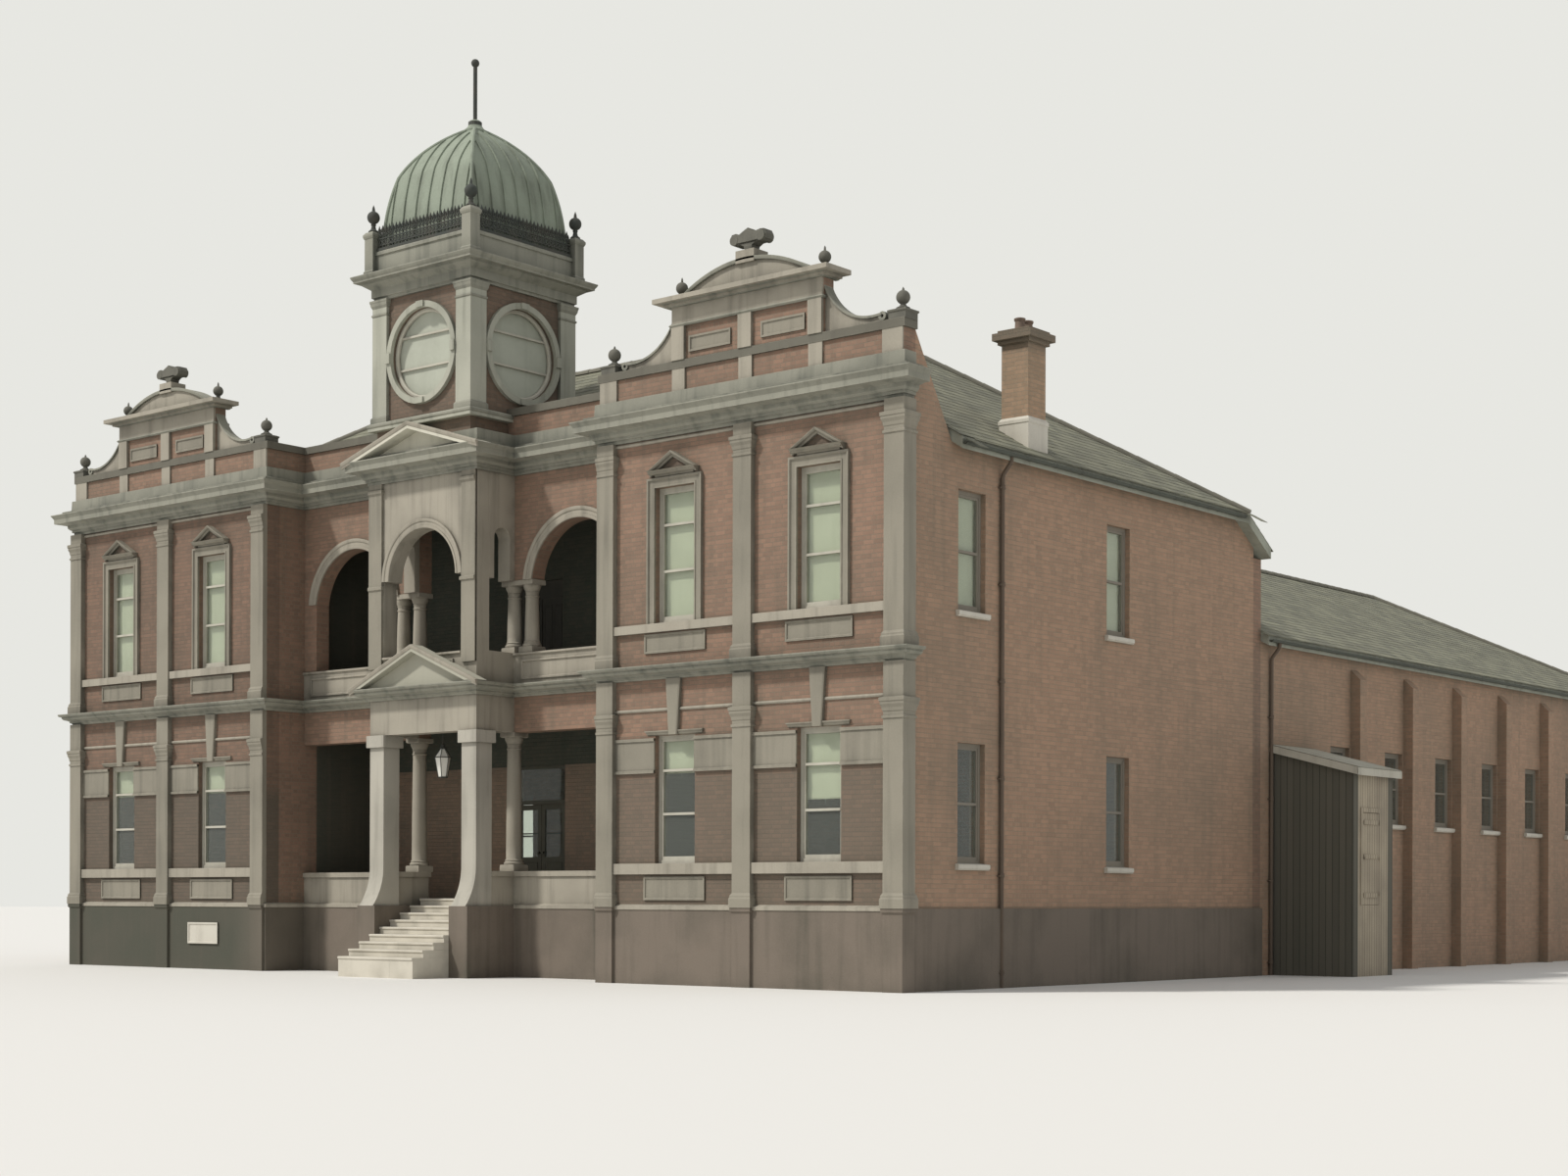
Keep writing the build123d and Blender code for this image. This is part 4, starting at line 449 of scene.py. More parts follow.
PALE_SHEET = weathered_and_shaded("pale_sheet", (0.50, 0.49, 0.41), (0.25, 0.22, 0.17), 0.4, 0.3, 0.9, 20.0, 0.001, 0.3)
CLAY = weathered_and_shaded("chimney_clay", (0.22, 0.155, 0.115), (0.09, 0.075, 0.06), 0.4, 0.3, 3.0, hollow_shade=0.5)
ORNAMENT = weathered_and_shaded("sooty_ornament", (0.14, 0.135, 0.11), (0.06, 0.06, 0.05), 0.4, 0.3, 3.0, hollow_shade=0.8,
                     edge=(0.28, 0.27, 0.22))

SLOT_FINISH = {
    "brick": BRICK, "stucco": STUCCO, "plinth": PLINTH, "steps": STONE, "slate": SLATE,
    "metal_roof": SHEET_METAL, "timber_floor": BOARDS, "paint": PALE_PAINT, "dark_paint": DARK_PAINT,
    "glass": GLASS, "iron": IRON, "gutter": GUTTER,
}
NODE_FINISH = {
    "tower_glass": OPAL, "lean_to_end_walls": DARK_BOARDS, "lean_to_outer_wall": PALE_BOARDS,
    "lean_to_door": PALE_BOARDS, "right_front_wall": FRONT_BRICK, "left_front_wall": LEFT_BRICK,
    "entrance_walls": PORCH_BRICK, "loggia_back_wall": SHADED_BRICK, "return_walls": RETURN_BRICK,
    "porch_piers": PIER_STUCCO,
    "tower_front_rear_walls": TOWER_BRICK, "tower_side_walls": TOWER_BRICK, "right_side_wall": SIDE_BRICK_PAINTED_LIGHT,
    "hall_side_walls": SIDE_BRICK_PAINTED_LIGHT, "hall_buttresses": SIDE_BRICK_PAINTED_LIGHT, "chimneys": CHIMNEY_BRICK,
    "window_frames": WINDOW_PAINT, "pediments": PALE_STUCCO, "tower_dressings": TOWER_STUCCO,
    "parapet_copings": COPING, "main_roof": EAVE_PAINT, "hall_roof": EAVE_PAINT,
    "entrance_frame": DOOR_PAINT, "entrance_door_left": DOOR_PAINT, "entrance_door_right": DOOR_PAINT,
}


def finish_frame_nodes():
    """Each carried-over node gets the finish of its slot, or one of its own."""
    for row in frame["record"]["subparts"]:
        node = frame["nodes"][row["node"]]
        finish = NODE_FINISH.get(row["node"], SLOT_FINISH[row["material_slot"]])
        if not node.material_slots:
            node.data.materials.append(finish)
        for slot in node.material_slots:
            slot.material = finish


# ---------------------------------------------------------------- making meshes

def add_piece(name, mesh, slot, body="building", stands_for=(), finish=None):
    """A finished mesh as a piece of the building, in its slot's finish or one of its own."""
    if not mesh.materials:
        mesh.materials.append(finish or SLOT_FINISH[slot])
    piece = bpy.data.objects.new(name, mesh)
    scene.collection.objects.link(piece)
    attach(piece, body)
    if stands_for:
        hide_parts(*stands_for)
    return piece


def mesh_from(work, name):
    """The bmesh as a mesh, with its faces turned outwards."""
    bmesh.ops.recalc_face_normals(work, faces=work.faces)
    mesh = bpy.data.meshes.new(name)
    work.to_mesh(mesh)
    work.free()
    return mesh


def smooth_round(mesh, angle=35):
    """Smooth shading over gentle bends, sharp over others."""
    mesh.shade_smooth()
    mesh.set_sharp_from_angle(angle=math.radians(angle))
    return mesh


def add_shape(name, work, slot, bend=None, **more):
    """A finished bmesh as a piece, smooth over bends gentler than bend degrees."""
    mesh = mesh_from(work, name)
    return add_piece(name, smooth_round(mesh, bend) if bend else mesh, slot, **more)


def add_block(work, low, high):
    """A closed box between two corners."""
    corners = [
        work.verts.new((x, y, z)) for x in (low[0], high[0]) for y in (low[1], high[1]) for z in (low[2], high[2])
    ]
    for a, b, c, d in ((0, 1, 3, 2), (4, 6, 7, 5), (0, 4, 5, 1), (2, 3, 7, 6), (0, 2, 6, 4), (1, 5, 7, 3)):
        work.faces.new((corners[a], corners[b], corners[c], corners[d]))


def swept(work, lines, closed=False):
    """A solid between the lines that the points of a closed profile follow."""
    rows = [[work.verts.new(point) for point in line] for line in lines]
    steps = len(rows[0])
    for a, row in enumerate(rows):
        after = rows[(a + 1) % len(rows)]
        for n in range(steps if closed else steps - 1):
            m = (n + 1) % steps
            work.faces.new((row[n], row[m], after[m], after[n]))
    if not closed:
        work.faces.new([row[0] for row in rows])
        work.faces.new([row[-1] for row in reversed(rows)])


def skinned(work, rings):
    """A closed solid through rings of points."""
    rows = [[work.verts.new(point) for point in ring] for ring in rings]
    for below, above in zip(rows, rows[1:]):
        for n in range(len(below)):
            m = (n + 1) % len(below)
            work.faces.new((below[n], below[m], above[m], above[n]))
    work.faces.new(reversed(rows[0]))
    work.faces.new(rows[-1])


def circle(x, y, radius, sides):
    """Points round a circle."""
    return [(x + radius * math.cos(2 * math.pi * n / sides), y + radius * math.sin(2 * math.pi * n / sides))
            for n in range(sides)]


def turned(work, x, y, rings, sides=32):
    """A round solid about an upright line, through rings of (radius, height)."""
    skinned(work, [[(a, b, z) for a, b in circle(x, y, radius, sides)] for radius, z in rings])


def stacked(work, x, y, rings):
    """A square solid through rings of (half width, height)."""
    skinned(work, [[(x + a * half, y + b * half, z) for a, b in ((-1, -1), (1, -1), (1, 1), (-1, 1))]
                   for half, z in rings])


def tube(work, points, radius, sides=8):
    """A round bar along a line of points, square to it at each."""
    points = [Vector(p) for p in points]
    rings = []
    side = None
    for n, point in enumerate(points):
        ahead = (points[min(n + 1, len(points) - 1)] - points[max(n - 1, 0)]).normalized()
        if side is None:
            side = ahead.orthogonal().normalized()
        side = (side - ahead * side.dot(ahead)).normalized()
        across = ahead.cross(side)
        rings.append([point + radius * (side * math.cos(2 * math.pi * k / sides)
                                        + across * math.sin(2 * math.pi * k / sides)) for k in range(sides)])
    skinned(work, rings)


def arc_points(first, middle, last, steps):
    """Points along the arc through three points in a plane."""
    (ax, ay), (bx, by), (cx, cy) = first, middle, last
    d = 2 * (ax * (by - cy) + bx * (cy - ay) + cx * (ay - by))
    a2, b2, c2 = ax * ax + ay * ay, bx * bx + by * by, cx * cx + cy * cy
    ux = (a2 * (by - cy) + b2 * (cy - ay) + c2 * (ay - by)) / d
    uy = (a2 * (cx - bx) + b2 * (ax - cx) + c2 * (bx - ax)) / d
    radius = math.hypot(ax - ux, ay - uy)
    start = math.atan2(ay - uy, ax - ux)
    halfway = math.atan2(by - uy, bx - ux) - start
    end = math.atan2(cy - uy, cx - ux) - start
    turn = 2 * math.pi
    halfway, end = halfway % turn, end % turn
    if halfway > end:
        end -= turn
    return [
        (ux + radius * math.cos(start + end * n / steps), uy + radius * math.sin(start + end * n / steps))
        for n in range(steps + 1)
    ]


def grown(base, tree, **values):
    """The mesh that a geometry tree makes of a base mesh; words joined by _ name its inputs."""
    holder = bpy.data.objects.new("grown", base)
    scene.collection.objects.link(holder)
    modifier = holder.modifiers.new("grown", "NODES")
    modifier.node_group = tree
    for item in tree.interface.items_tree:
        word = item.name.replace(" ", "_")
        if item.in_out == "INPUT" and word in values:
            modifier[item.identifier] = values[word]
    mesh = bpy.data.meshes.new_from_object(holder.evaluated_get(bpy.context.evaluated_depsgraph_get()))
    holder.modifiers.remove(modifier)
    bpy.data.objects.remove(holder)
    return mesh


def geometry_tree(name, inputs):
    """A geometry tree with a mesh in and out and named sizes."""
    tree, given, out = tree_with("GeometryNodeTree", name, [("Base", "NodeSocketGeometry", None), *inputs],
                                 [("Result", "NodeSocketGeometry")])
    tree.is_modifier = True
    return tree, given.outputs, out


def join_meshes(name, meshes):
    """Several meshes as one, keeping their attributes."""
    holders = []
    for mesh in meshes:
        holder = bpy.data.objects.new(name, mesh)
        scene.collection.objects.link(holder)
        holders.append(holder)
    with bpy.context.temp_override(
        active_object=holders[0], selected_objects=holders, selected_editable_objects=holders
    ):
        bpy.ops.object.join()
    joined = holders[0].data
    bpy.data.objects.remove(holders[0])
    return joined


# ---------------------------------------------------------------- mouldings of the front

def front_line(out, back=RETURN):
    """The line of the front in plan, moved outwards, from the right side round to the left side."""
    right = [
        (WALL_HALF + out, back), (WALL_HALF + out, -out), (PAVILION_INNER - out, -out),
        (PAVILION_INNER - out, RECESS - out), (CENTRE_HALF + out, RECESS - out), (CENTRE_HALF + out, -out),
    ]
    return right + [(-x, y) for x, y in reversed(right)]


def moulding_along(work, profile, base, plan, closed=False):
    """A moulding of (out, up) points swept along a plan line that plan(out) gives."""
    swept(work, [[(x, y, base + up) for x, y in plan(out)] for out, up in profile], closed)


def across_front(work, profile, left, right, base, front=0.0):
    """A moulding of (out, up) points straight across the front."""
    swept(work, [[(left, front - out, base + up), (right, front - out, base + up)] for out, up in profile])


def bordered(work, left, right, low, high, border, front=0.0):
    """A raised border of (inset, out) points round a rectangle on the front."""
    swept(work, [[(left + far, front - out, low + far), (right - far, front - out, low + far),
                  (right - far, front - out, high - far), (left + far, front - out, high - far)]
                 for far, out in border], closed=True)


def bay(side, n):
    """Left and right end of the wall between a pavilion's pilasters n and n + 1."""
    return sorted((side * (PILASTER_X[n + 1] + PILASTER_HALF), side * (PILASTER_X[n] - PILASTER_HALF)))


def front_mouldings():
    """The main cornice and the string course, round every break of the front."""
    work = bmesh.new()
    cornice = [
        (0, 0), (0.05, 0), (0.05, 0.06), (0.09, 0.07), (0.09, 0.12), (0.12, 0.13), (0.16, 0.17), (0.17, 0.24),
        (0.29, 0.27), (0.40, 0.275), (0.40, 0.38), (0.43, 0.43), (0.46, 0.47), (0.46, 0.49), (0.26, 0.52),
        (0.26, 0.58), (0.10, 0.62), (0.09, 0.85), (0, 0.85),
    ]
    moulding_along(work, cornice, CORNICE_BOTTOM, front_line)
    add_shape("moulded_cornice", work, "stucco", finish=CORNICE_STUCCO, stands_for=("main_cornice",))
    work = bmesh.new()
    string = [
        (0, 0), (0.06, 0), (0.08, 0.03), (0.12, 0.05), (0.12, 0.08), (0.16, 0.10), (0.23, 0.12), (0.26, 0.16),
        (0.26, 0.185), (0.31, 0.20), (0.33, 0.235), (0.33, 0.255), (0.05, 0.27), (0, 0.27),
    ]
    moulding_along(work, string, STRING_BOTTOM, front_line)
    add_shape("moulded_string", work, "stucco", finish=CORNICE_STUCCO, stands_for=("string_course",))
    # Thin moulded lines of brick and stucco between the pilasters
    work = bmesh.new()
    bead = [(0, 0), (0.03, 0.01), (0.04, 0.035), (0.03, 0.06), (0, 0.07)]
    for side in SIDES:
        for n in range(2):
            for height in (5.37, CORNICE_BOTTOM - 0.09):
                across_front(work, bead, *bay(side, n), height)
    ledge = [(0.0, 0.0), (0.061, 0.0), (0.061, -0.055), (0.08, -0.045), (0.08, 0.02), (0.05, 0.03), (0.0, 0.055)]
    for side in SIDES:
        swept(work, [[(side * x, y, PLINTH_TOP + up) for x, y in front_line(out)[:5]] for out, up in ledge])
    add_shape("moulded_lines", work, "stucco")
    # A bare notice board on the left pavilion's plinth
    work = bmesh.new()
    left, right, low, high = -8.16, -7.02, 0.60, 1.10
    add_block(work, (left, -0.082, low), (right, -0.061, high))
    bordered(work, left, right, low, high, ((0, 0.061), (0, 0.10), (0.04, 0.10), (0.05, 0.083)))
    add_shape("bare_notice_board", work, "paint", finish=SILL_PAINT)


def turned_about(side, points):
    """A plan line mirrored for the left side."""
    return [(side * x, y) for x, y in points]


def pilaster_plan(side, n, out):
    """A pilaster's outline in plan, moved outwards; the corner one turns round the side."""
    x = PILASTER_X[n]
    inner, outer = x - PILASTER_HALF - out, x + PILASTER_HALF + out
    front = -PILASTER_OUT - out
    if n == 2:
        inner = x - PILASTER_HALF - min(out, 0)
    if n == 0:
        line = [(inner, 0), (inner, front), (outer, front), (outer, RETURN + out), (WALL_HALF - 0.02, RETURN + out)]
    else:
        line = [(inner, 0), (inner, front), (outer, front), (outer, 0)]
    return turned_about(side, line)


def shaft_profile(low, high, cap_low, cap_high):
    """A pilaster's profile as (out, height): base, shaft, neck ring and spreading cap."""
    return [
        (-0.09, low), (0.045, low), (0.045, low + 0.17), (0.03, low + 0.20), (0.03, low + 0.23), (0.0, low + 0.28),
        (0.0, cap_low - 0.12), (0.02, cap_low - 0.11), (0.02, cap_low - 0.07), (0.0, cap_low - 0.06), (0.0, cap_low),
        (0.012, cap_low + 0.02), (0.02, cap_low + 0.08), (0.045, cap_low + 0.14), (0.045, cap_high - 0.08),
        (0.06, cap_high - 0.06), (0.06, cap_high), (0.0, cap_high + 0.02), (0.0, high), (-0.09, high),
    ]


def front_pilasters():
    """Moulded pilasters of both storeys, their plinths and the strips on the centre bay."""
    work, feet = bmesh.new(), bmesh.new()
    for side in SIDES:
        for n in range(3):
            for low, high, cap in ((PLINTH_TOP, STRING_BOTTOM, 5.08), (STRING_TOP, CORNICE_BOTTOM, 10.24)):
                profile = shaft_profile(low, high, cap, cap + 0.26)
                swept(work, [[(x, y, z) for x, y in pilaster_plan(side, n, out)] for out, z in profile])
            foot = [(-0.09, 0), (0.0, 0), (0.0, 1.42), (0.03, 1.45), (0.03, PLINTH_TOP), (-0.09, PLINTH_TOP)]
            swept(feet, [[(x, y, z) for x, y in pilaster_plan(side, n, out)] for out, z in foot])
        strip = [
            (-0.03, 6.70), (0.0, 6.70), (0.0, 8.42), (0.03, 8.44), (0.03, 8.50), (0.0, 8.52), (0.0, 10.50),
            (0.035, 10.55), (0.035, 10.62), (0.0, 10.64), (0.0, CORNICE_BOTTOM), (-0.03, CORNICE_BOTTOM),
        ]
        swept(work, [[(side * x, y, z) for x, y in
                      ((1.28 - out, 0), (1.28 - out, -0.06 - out), (1.70, -0.06 - out), (1.70, 0))]
                     for out, z in strip])
    add_shape("moulded_pilasters", work, "stucco", stands_for=("pilasters",), finish=PILASTER_STUCCO)
    add_shape("pilaster_plinths", feet, "plinth")


def box_plan(centre, half):
    """A ledge's plan: half wide at the wall, growing with out to the front and both sides."""
    return lambda out: [(centre - half - out, 0), (centre - half - out, -out),
                        (centre + half + out, -out), (centre + half + out, 0)]


KEYSTONE_SPREAD = 1.73


def window_dressings():
    """Moulded surrounds and small pediments upstairs, tapered keystones and hoods downstairs."""
    work, dark = bmesh.new(), bmesh.new()
    frame_profile = [
        (0, 0), (0, 0.05), (0.03, 0.05), (0.035, 0.035), (0.13, 0.035), (0.14, 0.05), (0.155, 0.07), (0.19, 0.07),
        (0.19, 0),
    ]
    shelf = [
        (-0.05, 0), (0.0, 0), (0.05, 0.02), (0.06, 0.05), (0.12, 0.06), (0.15, 0.08), (0.15, 0.10), (0.17, 0.12),
        (0.19, 0.13), (-0.05, 0.13),
    ]
    rake = [(-0.11, 0.0), (-0.11, 0.10), (-0.07, 0.11), (-0.05, 0.15), (-0.01, 0.17), (0.0, 0.17), (0.0, 0.0)]
    hood = [(-0.02, 0), (0.0, 0), (0.03, 0.02), (0.04, 0.05), (0.06, 0.07), (0.06, 0.09), (-0.02, 0.09)]
    keystone = [(-0.11, 0.0), (-0.11, 0.07), (-0.09, 0.085), (0.09, 0.085), (0.11, 0.07), (0.11, 0.0)]
    for centre in [side * x for side in SIDES for x in WINDOW_X]:
        lines = []
        for far, out in frame_profile:
            left, right, head = centre - WINDOW_HALF - far, centre + WINDOW_HALF + far, UPPER_HEAD + far
            lines.append([(left, -out, UPPER_SILL), (left, -out, head), (right, -out, head), (right, -out, UPPER_SILL)])
        swept(work, lines)
        base = UPPER_HEAD + 0.19
        moulding_along(work, shelf, base, box_plan(centre, 0.45))
        top = base + 0.13
        swept(work, [[(centre - 0.61, -out, top + up), (centre, -out, top + 0.35 + up), (centre + 0.61, -out, top + up)]
                     for up, out in rake])
        # Painted shadow: dark brick panels fill the tympana of the small pediments
        swept(dark, [[(centre - 0.45, -out, top), (centre, -out, top + 0.25), (centre + 0.45, -out, top)]
                     for out in (0.0, 0.04)] + [[(centre - 0.44, -out, top - 0.02), (centre, -out, top - 0.02),
                                                 (centre + 0.44, -out, top - 0.02)] for out in (0.04, 0.0)])
        moulding_along(work, hood, GROUND_HEAD, box_plan(centre, 0.70))
        swept(work, [[(centre + x, -out, GROUND_HEAD), (centre + x * KEYSTONE_SPREAD, -out, STRING_BOTTOM)]
                     for x, out in keystone])
    add_shape("moulded_window_surrounds", work, "stucco", stands_for=("window_surrounds",), finish=PILASTER_STUCCO)
    add_shape("pediment_panels", dark, "brick", finish=TOWER_BRICK)


def front_facing():
    """Flat stucco beside the ground windows, sunk panels under all the front windows and on the attic."""
    work = bmesh.new()
    panel_border = [(0, 0), (0, 0.035), (0.035, 0.035), (0.05, 0.015), (0.05, 0)]
    for side in SIDES:
        for n, centre in enumerate(WINDOW_X):
            centre *= side
            left, right = bay(side, n)
            for start, end in ((left, centre - WINDOW_HALF), (centre + WINDOW_HALF, right)):
                add_block(work, (start, -0.03, 4.16), (end, 0.0, 4.85))
                add_block(work, (start, -0.055, 4.16), (end, 0.0, 4.22))
                add_block(work, (start, -0.055, 4.79), (end, 0.0, 4.85))
            for low, high in ((1.66, 2.12), (6.52, 6.90)):
                framed_panel(work, centre - 0.80, centre + 0.80, low, high, panel_border)
        middle = side * PILASTER_X[1]
        for start, end in ((middle - 1.45, middle - 0.38), (middle + 0.38, middle + 1.45)):
            framed_panel(work, start, end, 12.33, 12.64, panel_border)
    add_shape("front_panels", work, "stucco", finish=PILASTER_STUCCO)


def framed_panel(work, left, right, low, high, border):
    """A thin panel on the front with a raised border."""
    add_block(work, (left, -0.012, low), (right, 0.0, high))
    bordered(work, left, right, low, high, border)


def arch_rings():
    """Moulded bands round the loggia's arches."""
    work = bmesh.new()
    band = [(0, 0), (0, 0.04), (0.03, 0.05), (0.06, 0.05), (0.065, 0.035), (0.15, 0.035), (0.16, 0.05), (0.19, 0.06),
            (0.23, 0.06), (0.23, 0)]
    for centre, half, spring, crown, front, share in (
        (ARCH_CENTRE, ARCH_HALF, ARCH_SPRING, ARCH_CROWN, RECESS, 1.0),
        (-ARCH_CENTRE, ARCH_HALF, ARCH_SPRING, ARCH_CROWN, RECESS, 1.0),
        (0, CENTRE_ARCH_HALF, CENTRE_ARCH_SPRING, CENTRE_ARCH_SPRING + CENTRE_ARCH_HALF, 0.0, 0.87),
    ):
        lines = []
        for far, out in band:
            far *= share
            points = arc_points((centre - half - far, spring), (centre, crown + far), (centre + half + far, spring), 36)
            lines.append([(x, front - out, z) for x, z in points])
        swept(work, lines)
    add_shape("moulded_arches", work, "stucco", bend=25, stands_for=("arch_surrounds",))


def column_rings(low, high, radius):
    """A turned column between its square foot and its square head, as (radius, height)."""
    tall = high - low
    shaft = [(radius * (1 - 0.13 * t ** 1.6), low + 0.13 + (tall - 0.40) * t) for t in [n / 8 for n in range(9)]]
    neck = radius * 0.87
    return [
        (radius * 1.24, low), (radius * 1.28, low + 0.02), (radius * 1.28, low + 0.045), (radius * 1.12, low + 0.07),
        (radius * 1.10, low + 0.085), (radius * 1.16, low + 0.10), (radius * 1.04, low + 0.12), *shaft,
        (neck * 1.10, high - 0.255), (neck * 1.10, high - 0.235), (neck, high - 0.225), (neck, high - 0.17),
        (neck * 1.08, high - 0.165), (neck * 1.08, high - 0.15), (neck * 1.02, high - 0.145),
        (neck * 1.22, high - 0.09), (neck * 1.36, high - 0.04), (neck * 1.38, high),
    ]


def round_columns():
    """Columns of the porch and, in pairs under one slab, of the loggia."""
    work = bmesh.new()
    for side in SIDES:
        x, half = side * COLUMN_X, 0.215
        stacked(work, x, COLUMN_Y, [(half, PORCH_COPING), (half, PORCH_COPING + 0.12),
                                    (half - 0.01, PORCH_COPING + 0.14)])
        turned(work, x, COLUMN_Y, column_rings(PORCH_COPING + 0.14, BEAM_SOFFIT - 0.10, 0.17))
        stacked(work, x, COLUMN_Y, [(half - 0.02, BEAM_SOFFIT - 0.10), (half, BEAM_SOFFIT - 0.08), (half, BEAM_SOFFIT)])
        for x in (side * COLUMN_X, side * (COLUMN_X + COLUMN_STEP)):
            stacked(work, x, COLUMN_Y, [(0.20, LOGGIA_COPING), (0.20, LOGGIA_COPING + 0.11),
                                        (0.19, LOGGIA_COPING + 0.13)])
            turned(work, x, COLUMN_Y, column_rings(LOGGIA_COPING + 0.13, ARCH_SPRING - 0.10, 0.16))
        near, far = sorted((side * (COLUMN_X - 0.20), side * (COLUMN_X + COLUMN_STEP + 0.20)))
        add_block(work, (near, COLUMN_Y - 0.20, ARCH_SPRING - 0.10), (far, COLUMN_Y + 0.20, ARCH_SPRING))
    add_shape("turned_columns", work, "stucco", bend=35, stands_for=("round_columns",))


def loggia_facing():
    """Stucco on the loggia's low walls, with a panel and a thin coping."""
    work = bmesh.new()
    coping = [(0.0, 0.0), (0.03, 0.0), (0.06, 0.02), (0.06, 0.06), (0.0, 0.07)]
    border = [(0, 0), (0, 0.045), (0.035, 0.045), (0.05, 0.025), (0.05, 0)]
    top = LOGGIA_COPING - 0.07
    panel = STRING_TOP + 0.10, LOGGIA_COPING - 0.16
    for side in SIDES:
        left, right = sorted((side * CENTRE_HALF, side * PAVILION_INNER))
        add_block(work, (left, RECESS - 0.02, STRING_TOP - 0.02), (right, RECESS, top))
        across_front(work, coping, left, right, top, RECESS)
        bordered(work, left + 0.25, right - 0.25, *panel, border, RECESS - 0.005)
    across_front(work, coping, -1.25, 1.25, top)
    framed_panel(work, -1.0, 1.0, *panel, border)
    add_shape("loggia_low_walls", work, "stucco")


def main_pediments():
    """Raking mouldings on both pediments of the centre bay."""
    work = bmesh.new()
    rake = [(-0.13, 0.0), (-0.13, 0.03), (-0.09, 0.045), (-0.07, 0.06), (-0.02, 0.075), (0.0, 0.075), (0.012, 0.0)]
    for base, rise, out in ((STRING_TOP, 0.86, 0.33), (CORNICE_BOTTOM + 0.49, 0.66, 0.46)):
        half = CENTRE_HALF + out
        swept(work, [[(-half - 0.01, -out + 0.045 - proud, base + up), (0, -out + 0.045 - proud, base + rise + up),
                      (half + 0.01, -out + 0.045 - proud, base + up)] for up, proud in rake])
    add_shape("raking_mouldings", work, "stucco")


# ---------------------------------------------------------------- things that repeat along a line

def made_real(tree, instances, finish, out):
    """Instances turned into a mesh of their own, in one finish."""
    real = add_node(tree, "GeometryNodeRealizeInstances", {"Geometry": instances})
    coat = add_node(tree, "GeometryNodeSetMaterial", {"Geometry": real.outputs[0], "Material": finish})
    feed(tree, out.inputs["Result"], coat.outputs[0])


def copies_tree():
    """Copies of one piece at even steps along edges, each turned with its edge."""
    tree, given, out = geometry_tree("copies_along", [
        ("Copy", "NodeSocketObject", None), ("Step", "NodeSocketFloat", 0.14),
        ("Finish", "NodeSocketMaterial", None),
    ])
    line = add_node(tree, "GeometryNodeMeshToCurve", {"Mesh": given["Base"]})
    even = add_node(tree, "GeometryNodeResampleCurve", {"Curve": line.outputs["Curve"]}, mode="LENGTH")
    feed(tree, even.inputs["Length"], given["Step"])
    ahead = tree.nodes.new("GeometryNodeInputTangent").outputs[0]
    turned_round, facing = [
        add_node(tree, "FunctionNodeAlignRotationToVector", {"Vector": ahead}, axis="X", pivot_axis=pivot)
        for pivot in "ZY"
    ]
    feed(tree, facing.inputs["Rotation"], turned_round.outputs["Rotation"])
    shape = add_node(tree, "GeometryNodeObjectInfo", {"Object": given["Copy"]})
    put = add_node(tree, "GeometryNodeInstanceOnPoints", {
        "Points": even.outputs["Curve"], "Instance": shape.outputs["Geometry"], "Rotation": facing.outputs["Rotation"]})
    made_real(tree, put.outputs[0], given["Finish"], out)
    return tree


COPIES = copies_tree()


def copies_along(edges, copy_mesh, step, finish):
    """One mesh with copies of copy_mesh at even steps along each (start, end) edge."""
    lines = bpy.data.meshes.new("lines")
    ends = [tuple(p) for edge in edges for p in edge]
    lines.from_pydata(ends, [(n, n + 1) for n in range(0, len(ends), 2)], [])
    copy = bpy.data.objects.new("copy", copy_mesh)
    scene.collection.objects.link(copy)
    mesh = grown(lines, COPIES, Copy=copy, Step=step, Finish=finish)
    bpy.data.objects.remove(copy)
    return mesh


# ---------------------------------------------------------------- the tower

def tower_plan(out):
    """A square round the tower, out beyond its walls."""
    half = TOWER_HALF + out
    return [(-half, TOWER_MIDDLE - half), (half, TOWER_MIDDLE - half), (half, TOWER_MIDDLE + half),
            (-half, TOWER_MIDDLE + half)]


def round_the_tower(mesh):
    """The mesh of the front face, repeated on all four faces."""
    meshes = []
    for n in range(4):
        copy = mesh.copy()
        copy.transform(Matrix.Translation((0, TOWER_MIDDLE, 0)) @ Matrix.Rotation(n * math.pi / 2, 4, "Z")
                       @ Matrix.Translation((0, -TOWER_MIDDLE, 0)))
        meshes.append(copy)
    return join_meshes(mesh.name, meshes)


PEDESTAL_OFFSET, PEDESTAL_TOP = 1.56, 16.29
TOWER_ATTIC_TOP = 15.85


def tower_mouldings():
    """The tower's cornice and parapet with its four corner pedestals."""
    work = bmesh.new()
    profile = [
        (0, 14.78), (0.06, 14.78), (0.06, 14.83), (0.10, 14.85), (0.10, 15.02), (0.13, 15.04), (0.19, 15.08),
        (0.25, 15.12), (0.26, 15.16), (0.38, 15.165), (0.38, 15.20), (0.41, 15.24), (0.43, 15.28), (0.43, 15.30),
        (0.12, 15.33), (0.10, 15.34), (0.10, 15.74), (0.13, 15.76), (0.13, 15.82), (0.10, 15.85), (-0.08, 15.85),
        (-0.08, 15.30), (-0.36, 15.30), (-0.36, 15.06), (0, 15.06),
    ]
    moulding_along(work, profile, 0, tower_plan, closed=True)
    for a, b in CORNERS:
        stacked(work, a * PEDESTAL_OFFSET, TOWER_MIDDLE + b * PEDESTAL_OFFSET, [
            (0.155, 15.31), (0.155, 15.42), (0.135, 15.45), (0.135, 16.13), (0.15, 16.15), (0.165, 16.19),
            (0.165, 16.23), (0.12, PEDESTAL_TOP),
        ])
    add_shape("tower_mouldings", work, "stucco", finish=CORNICE_STUCCO, stands_for=("tower_cornice",))


